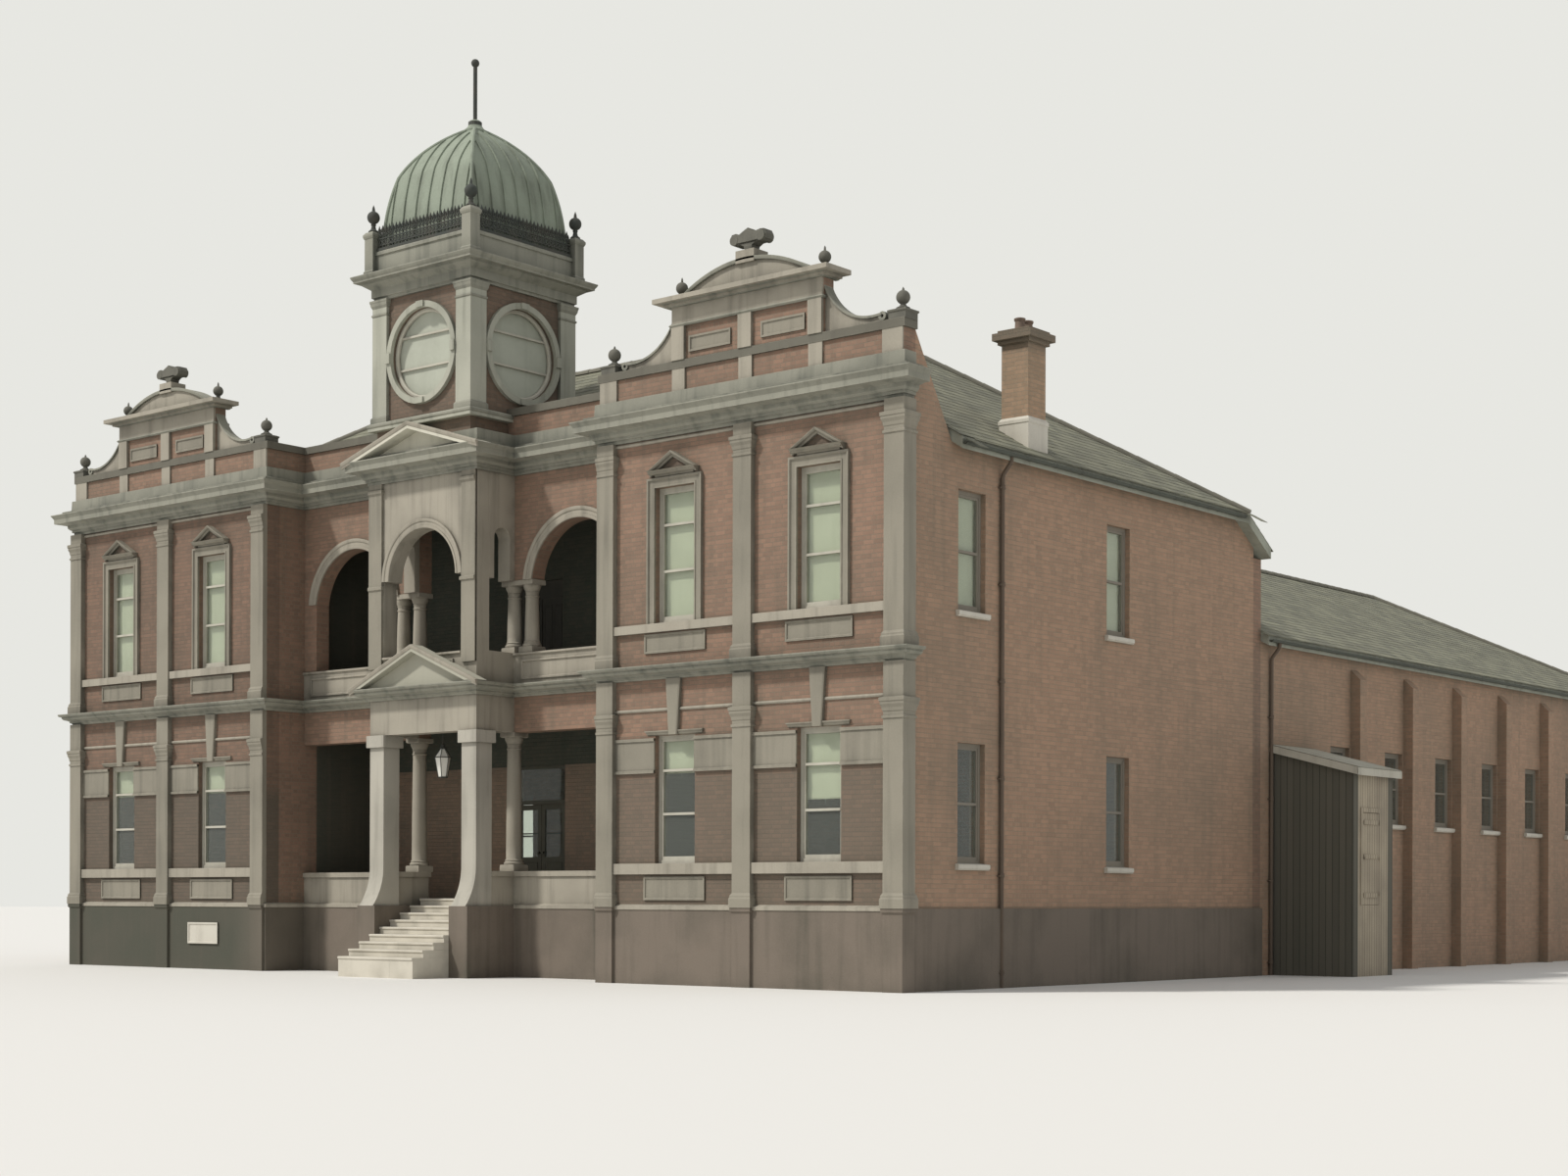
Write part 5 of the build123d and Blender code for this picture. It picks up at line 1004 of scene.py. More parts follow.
def picket():
    """A pointed iron bar with two rings and a short bar beside it."""
    work = bmesh.new()
    tube(work, [(0, 0, 0), (0, 0, 0.44)], 0.014, 6)
    turned(work, 0, 0, [(0.014, 0.40), (0.036, 0.45), (0.03, 0.48), (0.002, 0.565)], 6)
    for middle, radius in ((0.19, 0.048), (0.36, 0.036)):
        lines = []
        for size, y in ((1.0, -0.010), (1.0, 0.010), (0.62, 0.010), (0.62, -0.010)):
            lines.append([(x, y, z) for x, z in circle(0.055, middle, radius * size, 10)])
        swept(work, lines, closed=True)
    turned(work, 0.055, 0, [(0.010, 0.39), (0.024, 0.42), (0.002, 0.49)], 5)
    return mesh_from(work, "picket")


def tower_ironwork():
    """Pierced cresting between the pedestals, with balls on their tops."""
    work = bmesh.new()
    end = PEDESTAL_OFFSET - 0.15
    low = TOWER_ATTIC_TOP
    for level, half in ((low + 0.035, 0.03), (low + 0.13, 0.012), (low + 0.27, 0.014)):
        for turn in SIDES:
            y = TOWER_MIDDLE + turn * PEDESTAL_OFFSET
            add_block(work, (-end, y - half, level - half), (end, y + half, level + half))
            x = turn * PEDESTAL_OFFSET
            add_block(work, (x - half, TOWER_MIDDLE - end, level - half), (x + half, TOWER_MIDDLE + end, level + half))
    for a, b in CORNERS:
        ball = PEDESTAL_TOP + 0.34
        rings = [(0.10, PEDESTAL_TOP - 0.005), (0.115, PEDESTAL_TOP + 0.03), (0.06, PEDESTAL_TOP + 0.08),
                 (0.045, PEDESTAL_TOP + 0.15), (0.06, PEDESTAL_TOP + 0.18), (0.05, PEDESTAL_TOP + 0.20)]
        rings += [(0.14 * math.sin(t), ball - 0.14 * math.cos(t)) for t in [0.4 + n * 0.24 for n in range(11)]]
        rings += [(0.035, ball + 0.15), (0.03, ball + 0.20), (0.004, ball + 0.275)]
        turned(work, a * PEDESTAL_OFFSET, TOWER_MIDDLE + b * PEDESTAL_OFFSET, rings, 20)
    rails = mesh_from(work, "rails")
    rails.materials.append(IRON)
    start = end - 0.05
    edges = []
    for turn in SIDES:
        y = TOWER_MIDDLE + turn * PEDESTAL_OFFSET
        edges.append(((-start, y, low), (start - 0.07, y, low)))
        x = turn * PEDESTAL_OFFSET
        edges.append(((x, TOWER_MIDDLE - start, low), (x, TOWER_MIDDLE + start - 0.07, low)))
    bars = copies_along(edges, picket(), 0.11, IRON)
    add_piece("iron_cresting", smooth_round(join_meshes("iron_cresting", [rails, bars])), "iron",
              stands_for=("tower_cresting",))


def dome_curve(steps):
    """Half widths of the dome up its height, as in the part's source."""
    half, low, high = 1.38, 15.60, 18.68
    tall = high - low
    shoulder = (half * 0.85, low + tall * 0.62)
    cheek = (half * 0.985, (low + shoulder[1]) / 2 + 0.06)
    crown = (half * 0.57, low + tall * 0.81)
    return arc_points((half, low), cheek, shoulder, steps) + arc_points(shoulder, crown, (0, high), steps)[1:]


def dome_seams():
    """Standing seams up the four faces of the dome and rolls along its hips."""
    work = bmesh.new()
    curve = dome_curve(14)
    for across in [n * 0.39 for n in range(-3, 4)]:
        path = [(half, z) for half, z in curve if half > abs(across) + 0.03]
        outwards = []
        for n, (half, z) in enumerate(path):
            before, after = path[max(n - 1, 0)], path[min(n + 1, len(path) - 1)]
            run, rise = after[0] - before[0], after[1] - before[1]
            size = math.hypot(run, rise)
            outwards.append((rise / size, -run / size))
        lines = []
        for aside, lift in ((-0.012, -0.01), (-0.008, 0.032), (0.008, 0.032), (0.012, -0.01)):
            lines.append([(across + aside, TOWER_MIDDLE - half - lift * out, z + lift * up)
                          for (half, z), (out, up) in zip(path, outwards)])
        swept(work, lines)
    seams = round_the_tower(mesh_from(work, "dome_seams"))
    work = bmesh.new()
    for a, b in CORNERS:
        tube(work, [(a * half, TOWER_MIDDLE + b * half, z) for half, z in curve if half > 0.02], 0.042, 8)
    stacked(work, 0, TOWER_MIDDLE, [(1.42, 15.34), (1.42, 15.58), (1.39, 15.62), (1.30, 15.66)])
    turned(work, 0, TOWER_MIDDLE, [(0.26, 18.52), (0.26, 18.60), (0.19, 18.66), (0.15, 18.72), (0.15, 18.80),
                                  (0.10, 18.84)], 20)
    rolls = mesh_from(work, "dome_rolls")
    mesh = join_meshes("dome_seams", [seams, rolls])
    add_piece("dome_seams", smooth_round(mesh), "metal_roof")


EYE_FACE = 0.16


def tower_eyes():
    """A thin round frame with two bars across each of the tower's round windows."""
    work = bmesh.new()
    profile = [(CLOCK_RADIUS - 0.075, 0.03), (CLOCK_RADIUS - 0.075, 0.075), (CLOCK_RADIUS - 0.045, 0.10),
               (CLOCK_RADIUS - 0.002, 0.10), (CLOCK_RADIUS - 0.002, 0.03)]
    lines = []
    for radius, depth in profile:
        lines.append([(x, EYE_FACE - depth, z) for x, z in circle(0, CLOCK_HEIGHT, radius, 48)])
    swept(work, lines, closed=True)
    for z in (13.88, 13.18):
        half = math.sqrt(CLOCK_RADIUS ** 2 - (z - CLOCK_HEIGHT) ** 2) - 0.03
        add_block(work, (-half, 0.10, z - 0.022), (half, 0.148, z + 0.022))
    add_piece("round_window_bars", smooth_round(round_the_tower(mesh_from(work, "round_window_bars"))), "paint")


def tower_ledges():
    """Base mouldings and pilaster caps on the tower."""
    work = bmesh.new()
    bead = [(0.06, 0), (0.15, 0.0), (0.17, 0.03), (0.17, 0.07), (0.13, 0.09), (0.06, 0.10)]
    moulding_along(work, bead, 11.97, tower_plan, closed=True)
    for a, b in CORNERS:
        x, y = a * (TOWER_HALF - 0.15), TOWER_MIDDLE + b * (TOWER_HALF - 0.15)
        for low, rings in (
            (12.07, [(0.26, 0), (0.26, 0.12), (0.24, 0.15), (0.23, 0.16)]),
            (14.42, [(0.23, 0), (0.25, 0.02), (0.25, 0.05), (0.232, 0.06)]),
            (14.60, [(0.23, 0), (0.26, 0.06), (0.27, 0.12), (0.28, 0.14), (0.28, 0.18)]),
        ):
            stacked(work, x, y, [(half, low + up) for half, up in rings])
    add_shape("tower_ledges", work, "stucco", finish=CORNICE_STUCCO)


# ---------------------------------------------------------------- attics and finials

ATTIC_FRONT, ATTIC_BACK = -0.05, 0.38


def attic_mouldings():
    """Mouldings on the attics over the pavilions, and beads on the scroll wings."""
    work = bmesh.new()
    ledge = [(-0.02, 0), (0.07, 0.0), (0.08, 0.03), (0.10, 0.06), (0.155, 0.07), (0.155, 0.10), (0.17, 0.12),
             (0.18, 0.15), (0.18, 0.168), (-0.02, 0.168)]
    thin = [(-0.02, 0), (0.02, 0), (0.045, 0.03), (0.02, 0.06), (-0.02, 0.06)]
    for side in SIDES:
        middle = side * PILASTER_X[1]

        def round_three(out):
            """The attic's front and ends in plan."""
            left, right, front = middle - ATTIC_HALF - out, middle + ATTIC_HALF + out, ATTIC_FRONT - out
            return [(left, ATTIC_BACK), (left, front), (right, front), (right, ATTIC_BACK)]

        moulding_along(work, ledge, 13.235, round_three)
        moulding_along(work, thin, 12.85, round_three)
        for turn in SIDES:
            near = middle + turn * ATTIC_HALF
            head, foot = (near, COPING_TOP + 0.85), (near + turn * 1.32, COPING_TOP + 0.13)
            waist = (near + turn * 0.42, COPING_TOP + 0.33)
            wing = arc_points(head, waist, foot, 16)
            swept(work, [[(x, y, z + up) for x, z in wing]
                         for y, up in ((0.02, 0.0), (0.02, 0.045), (0.28, 0.045), (0.28, 0.0))])
            hub = foot[0] + turn * 0.02, COPING_TOP + 0.11
            scroll, small = circle(*hub, 0.085, 16), circle(*hub, 0.034, 16)
            swept(work, [[(x, y, z) for x, z in line]
                         for line, y in ((scroll, 0.03), (scroll, 0.27), (small, 0.27), (small, 0.03))], closed=True)
        crest = arc_points((middle - 1.63, 13.40), (middle, 13.88), (middle + 1.63, 13.40), 24)
        swept(work, [[(x, y, z + up) for x, z in crest] for y, up in
                     ((-0.05, -0.03), (-0.06, 0.0), (-0.06, 0.04), (0.34, 0.04), (0.34, -0.03))])
    add_shape("attic_mouldings", work, "stucco", bend=30, finish=CORNICE_STUCCO)


def ball_finial(work, x, y, base, height, radius):
    """A turned ball on a waisted stem, with a spike."""
    ball = base + height * 0.55
    rings = [(radius * 0.95, base), (radius, base + 0.02), (radius, base + height * 0.09),
             (radius * 0.62, base + height * 0.15), (radius * 0.42, base + height * 0.22),
             (radius * 0.40, ball - radius * 0.93)]
    rings += [(radius * math.sin(t), ball - radius * math.cos(t)) for t in [0.45 + n * 0.23 for n in range(11)]]
    rings += [(radius * 0.2, ball + radius * 1.0), (radius * 0.15, base + height * 0.93), (0.004, base + height)]
    turned(work, x, y, rings, 20)


def finials():
    """Ball finials on their pedestals, and the ornament in the middle of each attic."""
    work = bmesh.new()
    for side in SIDES:
        for x in (PILASTER_X[0], PILASTER_X[2]):
            stacked(work, side * x, 0.15, [(half, COPING_TOP + up) for half, up in (
                (0.19, -0.01), (0.19, 0.11), (0.21, 0.13), (0.21, 0.16), (0.16, 0.18))])
            ball_finial(work, side * x, 0.15, COPING_TOP + 0.175, 0.42, 0.13)
        middle = side * PILASTER_X[1]
        for turn in SIDES:
            ball_finial(work, middle + turn * (ATTIC_HALF - 0.09), 0.15, 13.395, 0.47, 0.12)
        stem = [(0.18, 13.86), (0.18, 13.90), (0.11, 13.94), (0.08, 14.08), (0.10, 14.16), (0.22, 14.22)]
        for low, high in zip(stem, stem[1:]):
            swept(work, [[(middle - low[0], y, low[1]), (middle - high[0], y, high[1])] for y in (0.03, 0.27)]
                  + [[(middle + low[0], y, low[1]), (middle + high[0], y, high[1])] for y in (0.27, 0.03)])
        cap = [(-0.28, 14.21), (-0.43, 14.24), (-0.45, 14.33), (-0.40, 14.42), (-0.30, 14.43), (-0.22, 14.40),
               (-0.14, 14.44), (0, 14.50), (0.14, 14.44), (0.22, 14.40), (0.30, 14.43), (0.40, 14.42), (0.45, 14.33),
               (0.43, 14.24), (0.28, 14.21)]
        for inset, front, back in ((0.0, 0.03, 0.27), (0.06, 0.005, 0.295)):
            small = [(x * (1 - inset * 2), 14.33 + (z - 14.33) * (1 - inset * 3)) for x, z in cap]
            swept(work, [[(middle + x, front, z), (middle + x, back, z)] for x, z in small])
        for turn in SIDES:
            swept(work, [[(x, 0.0, z), (x, 0.30, z)] for x, z in circle(middle + turn * 0.33, 14.30, 0.10, 16)])
    add_shape("turned_finials", work, "stucco", bend=35, stands_for=("finials",), finish=ORNAMENT)


# ---------------------------------------------------------------- roofs

def slate_tree():
    """Courses of slates laid over a flat outline: x runs along the eave and y up the slope."""
    tree, given, out = geometry_tree("slate_courses", [
        ("Slate Width", "NodeSocketFloat", 0.3), ("Gauge", "NodeSocketFloat", 0.25),
        ("Slate Length", "NodeSocketFloat", 0.42), ("Thickness", "NodeSocketFloat", 0.012),
        ("Tilt", "NodeSocketFloat", 0.03), ("Finish", "NodeSocketMaterial", None), ("Seed", "NodeSocketInt", 4),
    ])

    def value(operation, first, second):
        """A Math node's result."""
        return maths(tree, operation, first, second)

    def vector(operation, first, **second):
        """A VectorMath node's result, its second input given by name."""
        return add_node(tree, "ShaderNodeVectorMath", {0: first, **second}, operation=operation).outputs[0]

    def joined(**parts):
        """A vector made of the parts given."""
        return add_node(tree, "ShaderNodeCombineXYZ", parts).outputs[0]

    width, gauge = given["Slate Width"], given["Gauge"]
    box = add_node(tree, "GeometryNodeBoundBox", {"Geometry": given["Base"]}).outputs
    across, middle = [
        add_node(tree, "ShaderNodeVectorMath", {0: box["Max"], 1: box["Min"]}, operation=operation).outputs[0]
        for operation in ("SUBTRACT", "ADD")
    ]
    size = parts_of(tree, across)
    columns = value("ADD", value("CEIL", value("DIVIDE", size["X"], width), 0.0), 4.0)
    rows = value("ADD", value("CEIL", value("DIVIDE", size["Y"], gauge), 0.0), 3.0)
    grid = add_node(tree, "GeometryNodeMeshGrid", {
        "Vertices X": columns, "Vertices Y": rows, "Size X": value("MULTIPLY", value("SUBTRACT", columns, 1.0), width),
        "Size Y": value("MULTIPLY", value("SUBTRACT", rows, 1.0), gauge)})
    moved = add_node(tree, "GeometryNodeTransform", {
        "Geometry": grid.outputs["Mesh"], "Translation": vector("SCALE", middle, Scale=0.5)})
    row = value("FLOORED_MODULO", tree.nodes.new("GeometryNodeInputIndex").outputs[0], rows)
    odd = value("FLOORED_MODULO", row, 2.0)
    bonded = add_node(tree, "GeometryNodeSetPosition", {
        "Geometry": moved.outputs[0], "Offset": joined(X=value("MULTIPLY", value("MULTIPLY", odd, 0.5), width))})
    slate = add_node(tree, "GeometryNodeMeshCube", {
        "Size": joined(X=value("SUBTRACT", width, 0.006), Y=given["Slate Length"], Z=given["Thickness"])})
    lie = add_node(tree, "GeometryNodeTransform", {
        "Geometry": slate.outputs["Mesh"], "Rotation": joined(X=value("MULTIPLY", given["Tilt"], -1.0))})
    put = add_node(tree, "GeometryNodeInstanceOnPoints", {"Points": bonded.outputs[0], "Instance": lie.outputs[0]})
    tone = add_node(tree, "FunctionNodeRandomValue", data_type="FLOAT")
    feed(tree, tone.inputs["Seed"], given["Seed"])
    kept = add_node(tree, "GeometryNodeStoreNamedAttribute", {
        "Name": "slate_tone", "Geometry": put.outputs[0], "Value": tone.outputs[1]}, domain="INSTANCE")
    made_real(tree, kept.outputs[0], given["Finish"], out)
    return tree


SLATES = slate_tree()
SLATE_LIFT = 0.014
EAVE_DROP = 0.05
RIDGE_BEND = 0.2


def merged_shape(node):
    """A bmesh of a node with flat faces made whole."""
    work = bmesh.new()
    work.from_mesh(frame["nodes"][node].data)
    bmesh.ops.remove_doubles(work, verts=work.verts, dist=0.0005)
    bmesh.ops.dissolve_limit(work, angle_limit=0.002, verts=work.verts, edges=work.edges)
    return work


def is_slope(face):
    """Whether a face is a large pitched one, which bears slates."""
    return 0.3 < face.normal.z < 0.99 and face.calc_area() > 3.0


def clip_outline(work, outline, slack):
    """Cuts the mesh off beyond each outer edge of a flat outline, and closes what it cut."""
    for n, corner in enumerate(outline):
        along = outline[(n + 1) % len(outline)] - corner
        out = Vector((along.y, -along.x, 0)).normalized()
        if along.length < 0.05 or any((other - corner).dot(out) > 0.02 for other in outline):
            continue
        drop = slack if out.y < -0.99 else 0.0
        cut = bmesh.ops.bisect_plane(
            work, geom=[*work.verts, *work.edges, *work.faces], plane_co=corner + out * drop, plane_no=out,
            clear_outer=True,
        )
        edges = [item for item in cut["geom_cut"] if isinstance(item, bmesh.types.BMEdge)]
        bmesh.ops.edgenet_fill(work, edges=edges)


def inside_outline(x, y, outline):
    """Whether a point lies within a flat outline."""
    inside = False
    for n, a in enumerate(outline):
        b = outline[(n + 1) % len(outline)]
        if (a.y > y) != (b.y > y) and x < a.x + (y - a.y) * (b.x - a.x) / (b.y - a.y):
            inside = not inside
    return inside


def shells_of(work):
    """The separate shells of a mesh, each as a list of its points."""
    reached, shells = set(), []
    for vert in work.verts:
        if vert in reached:
            continue
        reached.add(vert)
        shell = [vert]
        for near in shell:
            for edge in near.link_edges:
                other = edge.other_vert(near)
                if other not in reached:
                    reached.add(other)
                    shell.append(other)
        shells.append(shell)
    return shells


def drop_slates_in_notches(work, outline):
    """Takes away the slates whose middle lies in a notch of the outline."""
    gone = []
    for shell in shells_of(work):
        x = sum(v.co.x for v in shell) / len(shell)
        y = sum(v.co.y for v in shell) / len(shell)
        if not inside_outline(x, max(y, 0.02), outline):
            gone += shell
    bmesh.ops.delete(work, geom=gone, context="VERTS")


def slated_roof(name, node):
    """Slates over every slope of a roof node, and tiles along its ridge and hips."""
    work = merged_shape(node)
    slopes = [face for face in work.faces if is_slope(face)]
    meshes = []
    for seed, face in enumerate(slopes):
        normal = face.normal.copy()
        corners = [vert.co.copy() for vert in face.verts]
        along = Vector((0, 0, 1)).cross(normal).normalized()
        up = normal.cross(along).normalized()
        start = min(corners, key=lambda corner: corner.z)
        outline = [Vector(((c - start).dot(along), (c - start).dot(up), 0)) for c in corners]
        flat = bmesh.new()
        flat.faces.new([flat.verts.new(point) for point in outline])
        shape = bpy.data.meshes.new("slope")
        flat.to_mesh(shape)
        flat.free()
        slates = bmesh.new()
        slates.from_mesh(grown(shape, SLATES, Finish=SLATE, Seed=seed))
        clip_outline(slates, outline, EAVE_DROP)
        drop_slates_in_notches(slates, outline)
        bmesh.ops.recalc_face_normals(slates, faces=slates.faces)
        mesh = bpy.data.meshes.new("slates")
        slates.to_mesh(mesh)
        slates.free()
        mesh.materials.append(SLATE)
        mesh.transform(Matrix.Translation(start + normal * SLATE_LIFT)
                       @ Matrix((along, up, normal)).transposed().to_4x4())
        meshes.append(mesh)
    edges = []
    for edge in work.edges:
        between = len(edge.link_faces) == 2 and all(face in slopes for face in edge.link_faces)
        if between and edge.calc_face_angle() > RIDGE_BEND:
            low, high = (vert.co.copy() for vert in edge.verts)
            inwards = (high - low).normalized() * 0.21
            edges.append((low + inwards, high - inwards))
    work.free()
    add_piece(name, join_meshes(name, meshes), "slate")
    tile = bmesh.new()
    outer = [(0.12 * math.cos(t), 0.10 * math.sin(t)) for t in [-0.15 + n * (math.pi + 0.3) / 8 for n in range(9)]]
    inner = [(y * 0.82, z * 0.82 - 0.004) for y, z in reversed(outer)]
    swept(tile, [[(-0.235, y, z), (0.235, y * 0.92, z * 0.92)] for y, z in outer + inner])
    ridge = copies_along(edges, mesh_from(tile, "ridge_tile"), 0.45, RIDGE_TILE)
    add_piece(name.replace("slates", "ridge"), smooth_round(ridge), "slate")


# ---------------------------------------------------------------- windows

def panes_of(node):
    """The panes of a glass node, each as its lowest and highest corner."""
    work = merged_shape(node)
    found = []
    for shell in shells_of(work):
        low = Vector([min(v.co[n] for v in shell) for n in range(3)])
        high = Vector([max(v.co[n] for v in shell) for n in range(3)])
        found.append((low, high))
    work.free()
    return sorted(found, key=lambda pane: tuple(round(x, 3) for x in (*pane[0], *pane[1])))


UPSTAIRS = 6.0
FRONT_REACH = 1.0
SMALL_PANE = 1.0
SASH_BAR = 0.05
SASH_OUT = 0.024
STILE = 0.04


def window_sashes():
    """Stiles, rails and bars on every window: front windows have two bars, the others a meeting rail."""
    work = bmesh.new()
    for low, high in panes_of("window_glass"):
        height = high.z - low.z
        if height < SMALL_PANE:
            continue
        across = 0 if high.y - low.y < 0.1 else 1
        thin = 1 - across
        levels = (0.38, 0.74) if across == 0 and high.y < FRONT_REACH else (0.5,)

        def bar(start, end, bottom, top, out=SASH_OUT):
            """One bar of the sash."""
            a, b = low.copy(), high.copy()
            a[across], b[across], a.z, b.z = start, end, bottom, top
            a[thin] -= out
            b[thin] += out
            add_block(work, a, b)

        near, far = low[across], high[across]
        bar(near, near + STILE, low.z, high.z)
        bar(far - STILE, far, low.z, high.z)
        bar(near + STILE, far - STILE, low.z, low.z + 0.07)
        bar(near + STILE, far - STILE, high.z - 0.05, high.z)
        for level in levels:
            middle = low.z + height * level
            bar(near + STILE, far - STILE, middle - SASH_BAR / 2, middle + SASH_BAR / 2, SASH_OUT + 0.012)
    add_shape("window_sashes", work, "paint", finish=WINDOW_PAINT)


def roller_blinds():
    """Roller blinds behind the upper windows, full down, and part way behind the front's lower ones."""
    laths = bmesh.new()
    number = 0
    for low, high in panes_of("window_glass"):
        upstairs, in_front = low.z > UPSTAIRS, high.y < FRONT_REACH
        on_side = upstairs and low.x > 12 and high.y < MAIN_BACK
        if high.z - low.z < 1.5 or not (in_front or on_side):
            continue
        number += 1
        outer = abs(low.x + high.x) / 2 > 9
        drop = high.z - low.z - 0.04 if upstairs else (1.25 if outer and low.x > 0 else 0.66)
        across = 0 if in_front else 1
        left, right, top = low[across] + 0.005, high[across] - 0.005, high.z + 0.02
        bottom = high.z - drop
        plane = high.y + 0.055 if in_front else low.x - 0.055
        inwards = 1 if in_front else -1

        def behind(along, deep, height):
            """A point so deep behind the glass."""
            away = plane + inwards * deep
            return (along, away, height) if in_front else (away, along, height)

        columns, rows = 14, 16
        front, back = [], []
        for n in range(columns + 1):
            x = left + (right - left) * n / columns
            line = []
            for m in range(rows + 1):
                z = top + (bottom - top) * m / rows
                curl = 0.006 * math.cos(2 * math.pi * n / columns) * m / rows
                ripple = 0.0025 * math.sin(9.0 * z + 1.7 * number + 2.0 * n / columns)
                line.append((x, curl + ripple, z))
            front.append([behind(*point) for point in line])
            back.append([behind(x, deep + 0.0015, z) for x, deep, z in line])
        work = bmesh.new()
        swept(work, front + back[::-1])
        name = f"window_blind_{number}"
        blind = add_piece(name, smooth_round(mesh_from(work, name), 60), "paint", finish=BLIND)
        ends = behind(left + 0.01, -0.008, bottom - 0.022), behind(right - 0.01, 0.008, bottom + 0.004)
        add_block(laths, *[tuple(pick(a, b) for a, b in zip(*ends)) for pick in (min, max)])
        tube(laths, [behind((left + right) / 2, -0.004, bottom - down) for down in (0.02, 0.10)], 0.003, 5)
    add_shape("blind_laths", laths, "paint")


def window_sills():
    """Pale projecting sills under the windows of the sides, the rear and the hall."""
    work = bmesh.new()
    profile = [(-0.10, 0.02), (0.0, 0.008), (0.075, -0.004), (0.085, -0.018), (0.085, -0.085), (0.065, -0.095),
               (0.065, -0.11), (0.0, -0.11), (0.0, -0.03), (-0.10, -0.02)]
    for low, high in panes_of("window_glass"):
        if high.z - low.z < SMALL_PANE:
            continue
        across = 0 if high.y - low.y < 0.1 else 1
        if across == 0 and high.y < FRONT_REACH:
            continue
        level = low.z - 0.07
        start, end = low[across] - 0.07, high[across] + 0.07
        hall = across == 1 and low.y > MAIN_BACK
        face = MAIN_BACK if across == 0 else (WALL_HALF if low.x > 2 else (HALL_LOW.x if hall else -WALL_HALF))
        out_sign = 1 if across == 0 or low.x > 2 else -1
        lines = []
        for out, up in profile:
            side = 0.07 if out > -0.01 else 0.0
            ends = []
            for along in (start - side, end + side):
                away = face + out_sign * out
                ends.append((along, away, level + up) if across == 0 else (away, along, level + up))
            lines.append(ends)
        swept(work, lines)
    add_shape("window_sills", work, "paint", finish=SILL_PAINT)


# ---------------------------------------------------------------- doors, steps and lantern

def raised_field(work, left, right, low, high, face, away):
    """A raised and fielded panel on an upright face, away being -1 towards the front."""
    rings = []
    for inset, out in ((0.0, 0.0), (0.0, 0.008), (0.015, 0.016), (0.03, 0.006), (0.07, 0.014), (0.09, 0.014)):
        y = face + away * out
        rings.append([(left + inset, y, low + inset), (right - inset, y, low + inset),
                      (right - inset, y, high - inset), (left + inset, y, high - inset)])
    skinned(work, rings)


def door_panels():
    """Raised panels on the entrance leaves and on the fixed doors of the loggia."""
    for side, word in ((1, "right"), (-1, "left")):
        low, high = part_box(f"entrance_door_{word}")
        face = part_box(f"entrance_pane_{word}")[0].y - 0.018
        pane_low, pane_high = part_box(f"entrance_pane_{word}")
        work = bmesh.new()
        raised_field(work, pane_low.x, pane_high.x, low.z + 0.14, pane_low.z - 0.12, face, -1)
        middle = (pane_low.z + pane_high.z) / 2
        add_block(work, (pane_low.x, face + 0.004, middle - 0.014), (pane_high.x, face + 0.018, middle + 0.014))
        add_piece(f"entrance_panels_{word}", mesh_from(work, f"entrance_panels_{word}"), "paint",
                  body=f"entrance_leaf_{word}", finish=DOOR_PAINT)
    low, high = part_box("loggia_doors")
    work = bmesh.new()
    for side in SIDES:
        left, right = sorted((side * 0.02, side * (high.x - 0.05)))
        for start, end in ((left + 0.06, (left + right) / 2 - 0.03), ((left + right) / 2 + 0.03, right - 0.06)):
            raised_field(work, start, end, low.z + 0.22, low.z + 0.95, low.y, -1)
            raised_field(work, start, end, low.z + 1.10, high.z - 0.55, low.y, -1)
        add_block(work, (left + 0.04, low.y - 0.02, high.z - 0.40), (right - 0.04, low.y, high.z - 0.36))
    add_block(work, (-0.02, low.y - 0.025, low.z + 0.1), (0.02, low.y, high.z - 0.40))
    add_shape("loggia_door_panels", work, "dark_paint")


STEP_COUNT, STEP_GOING, STEP_HALF = 9, 0.29, 1.19
STREET_LEVEL = 0.28


def stone_steps():
    """The flight of stone steps with rounded nosings, each of three slabs that lie on those below."""
    work = bmesh.new()
    low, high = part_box("front_steps")
    rise = (high.z - STREET_LEVEL) / STEP_COUNT
    for n in range(STEP_COUNT):
        y, top = low.y + n * STEP_GOING, STREET_LEVEL + (n + 1) * rise
        foot = top - rise + 0.002 if n else 0
        nose = 0.022
        profile = [(y, foot), (y, top - 0.055), (y - nose + 0.006, top - 0.05), (y - nose, top - 0.042),
                   (y - nose, top - 0.012), (y - nose + 0.006, top - 0.003), (y - nose + 0.014, top), (high.y, top),
                   (high.y, foot)]
        first, last = (-0.42, 0.39) if n % 2 else (-0.30, 0.47)
        for left, right in ((-STEP_HALF, first), (first + 0.003, last), (last + 0.003, STEP_HALF)):
            swept(work, [[(left, a, b), (right, a, b)] for a, b in profile])
    add_shape("stone_steps", work, "steps", stands_for=("front_steps",))


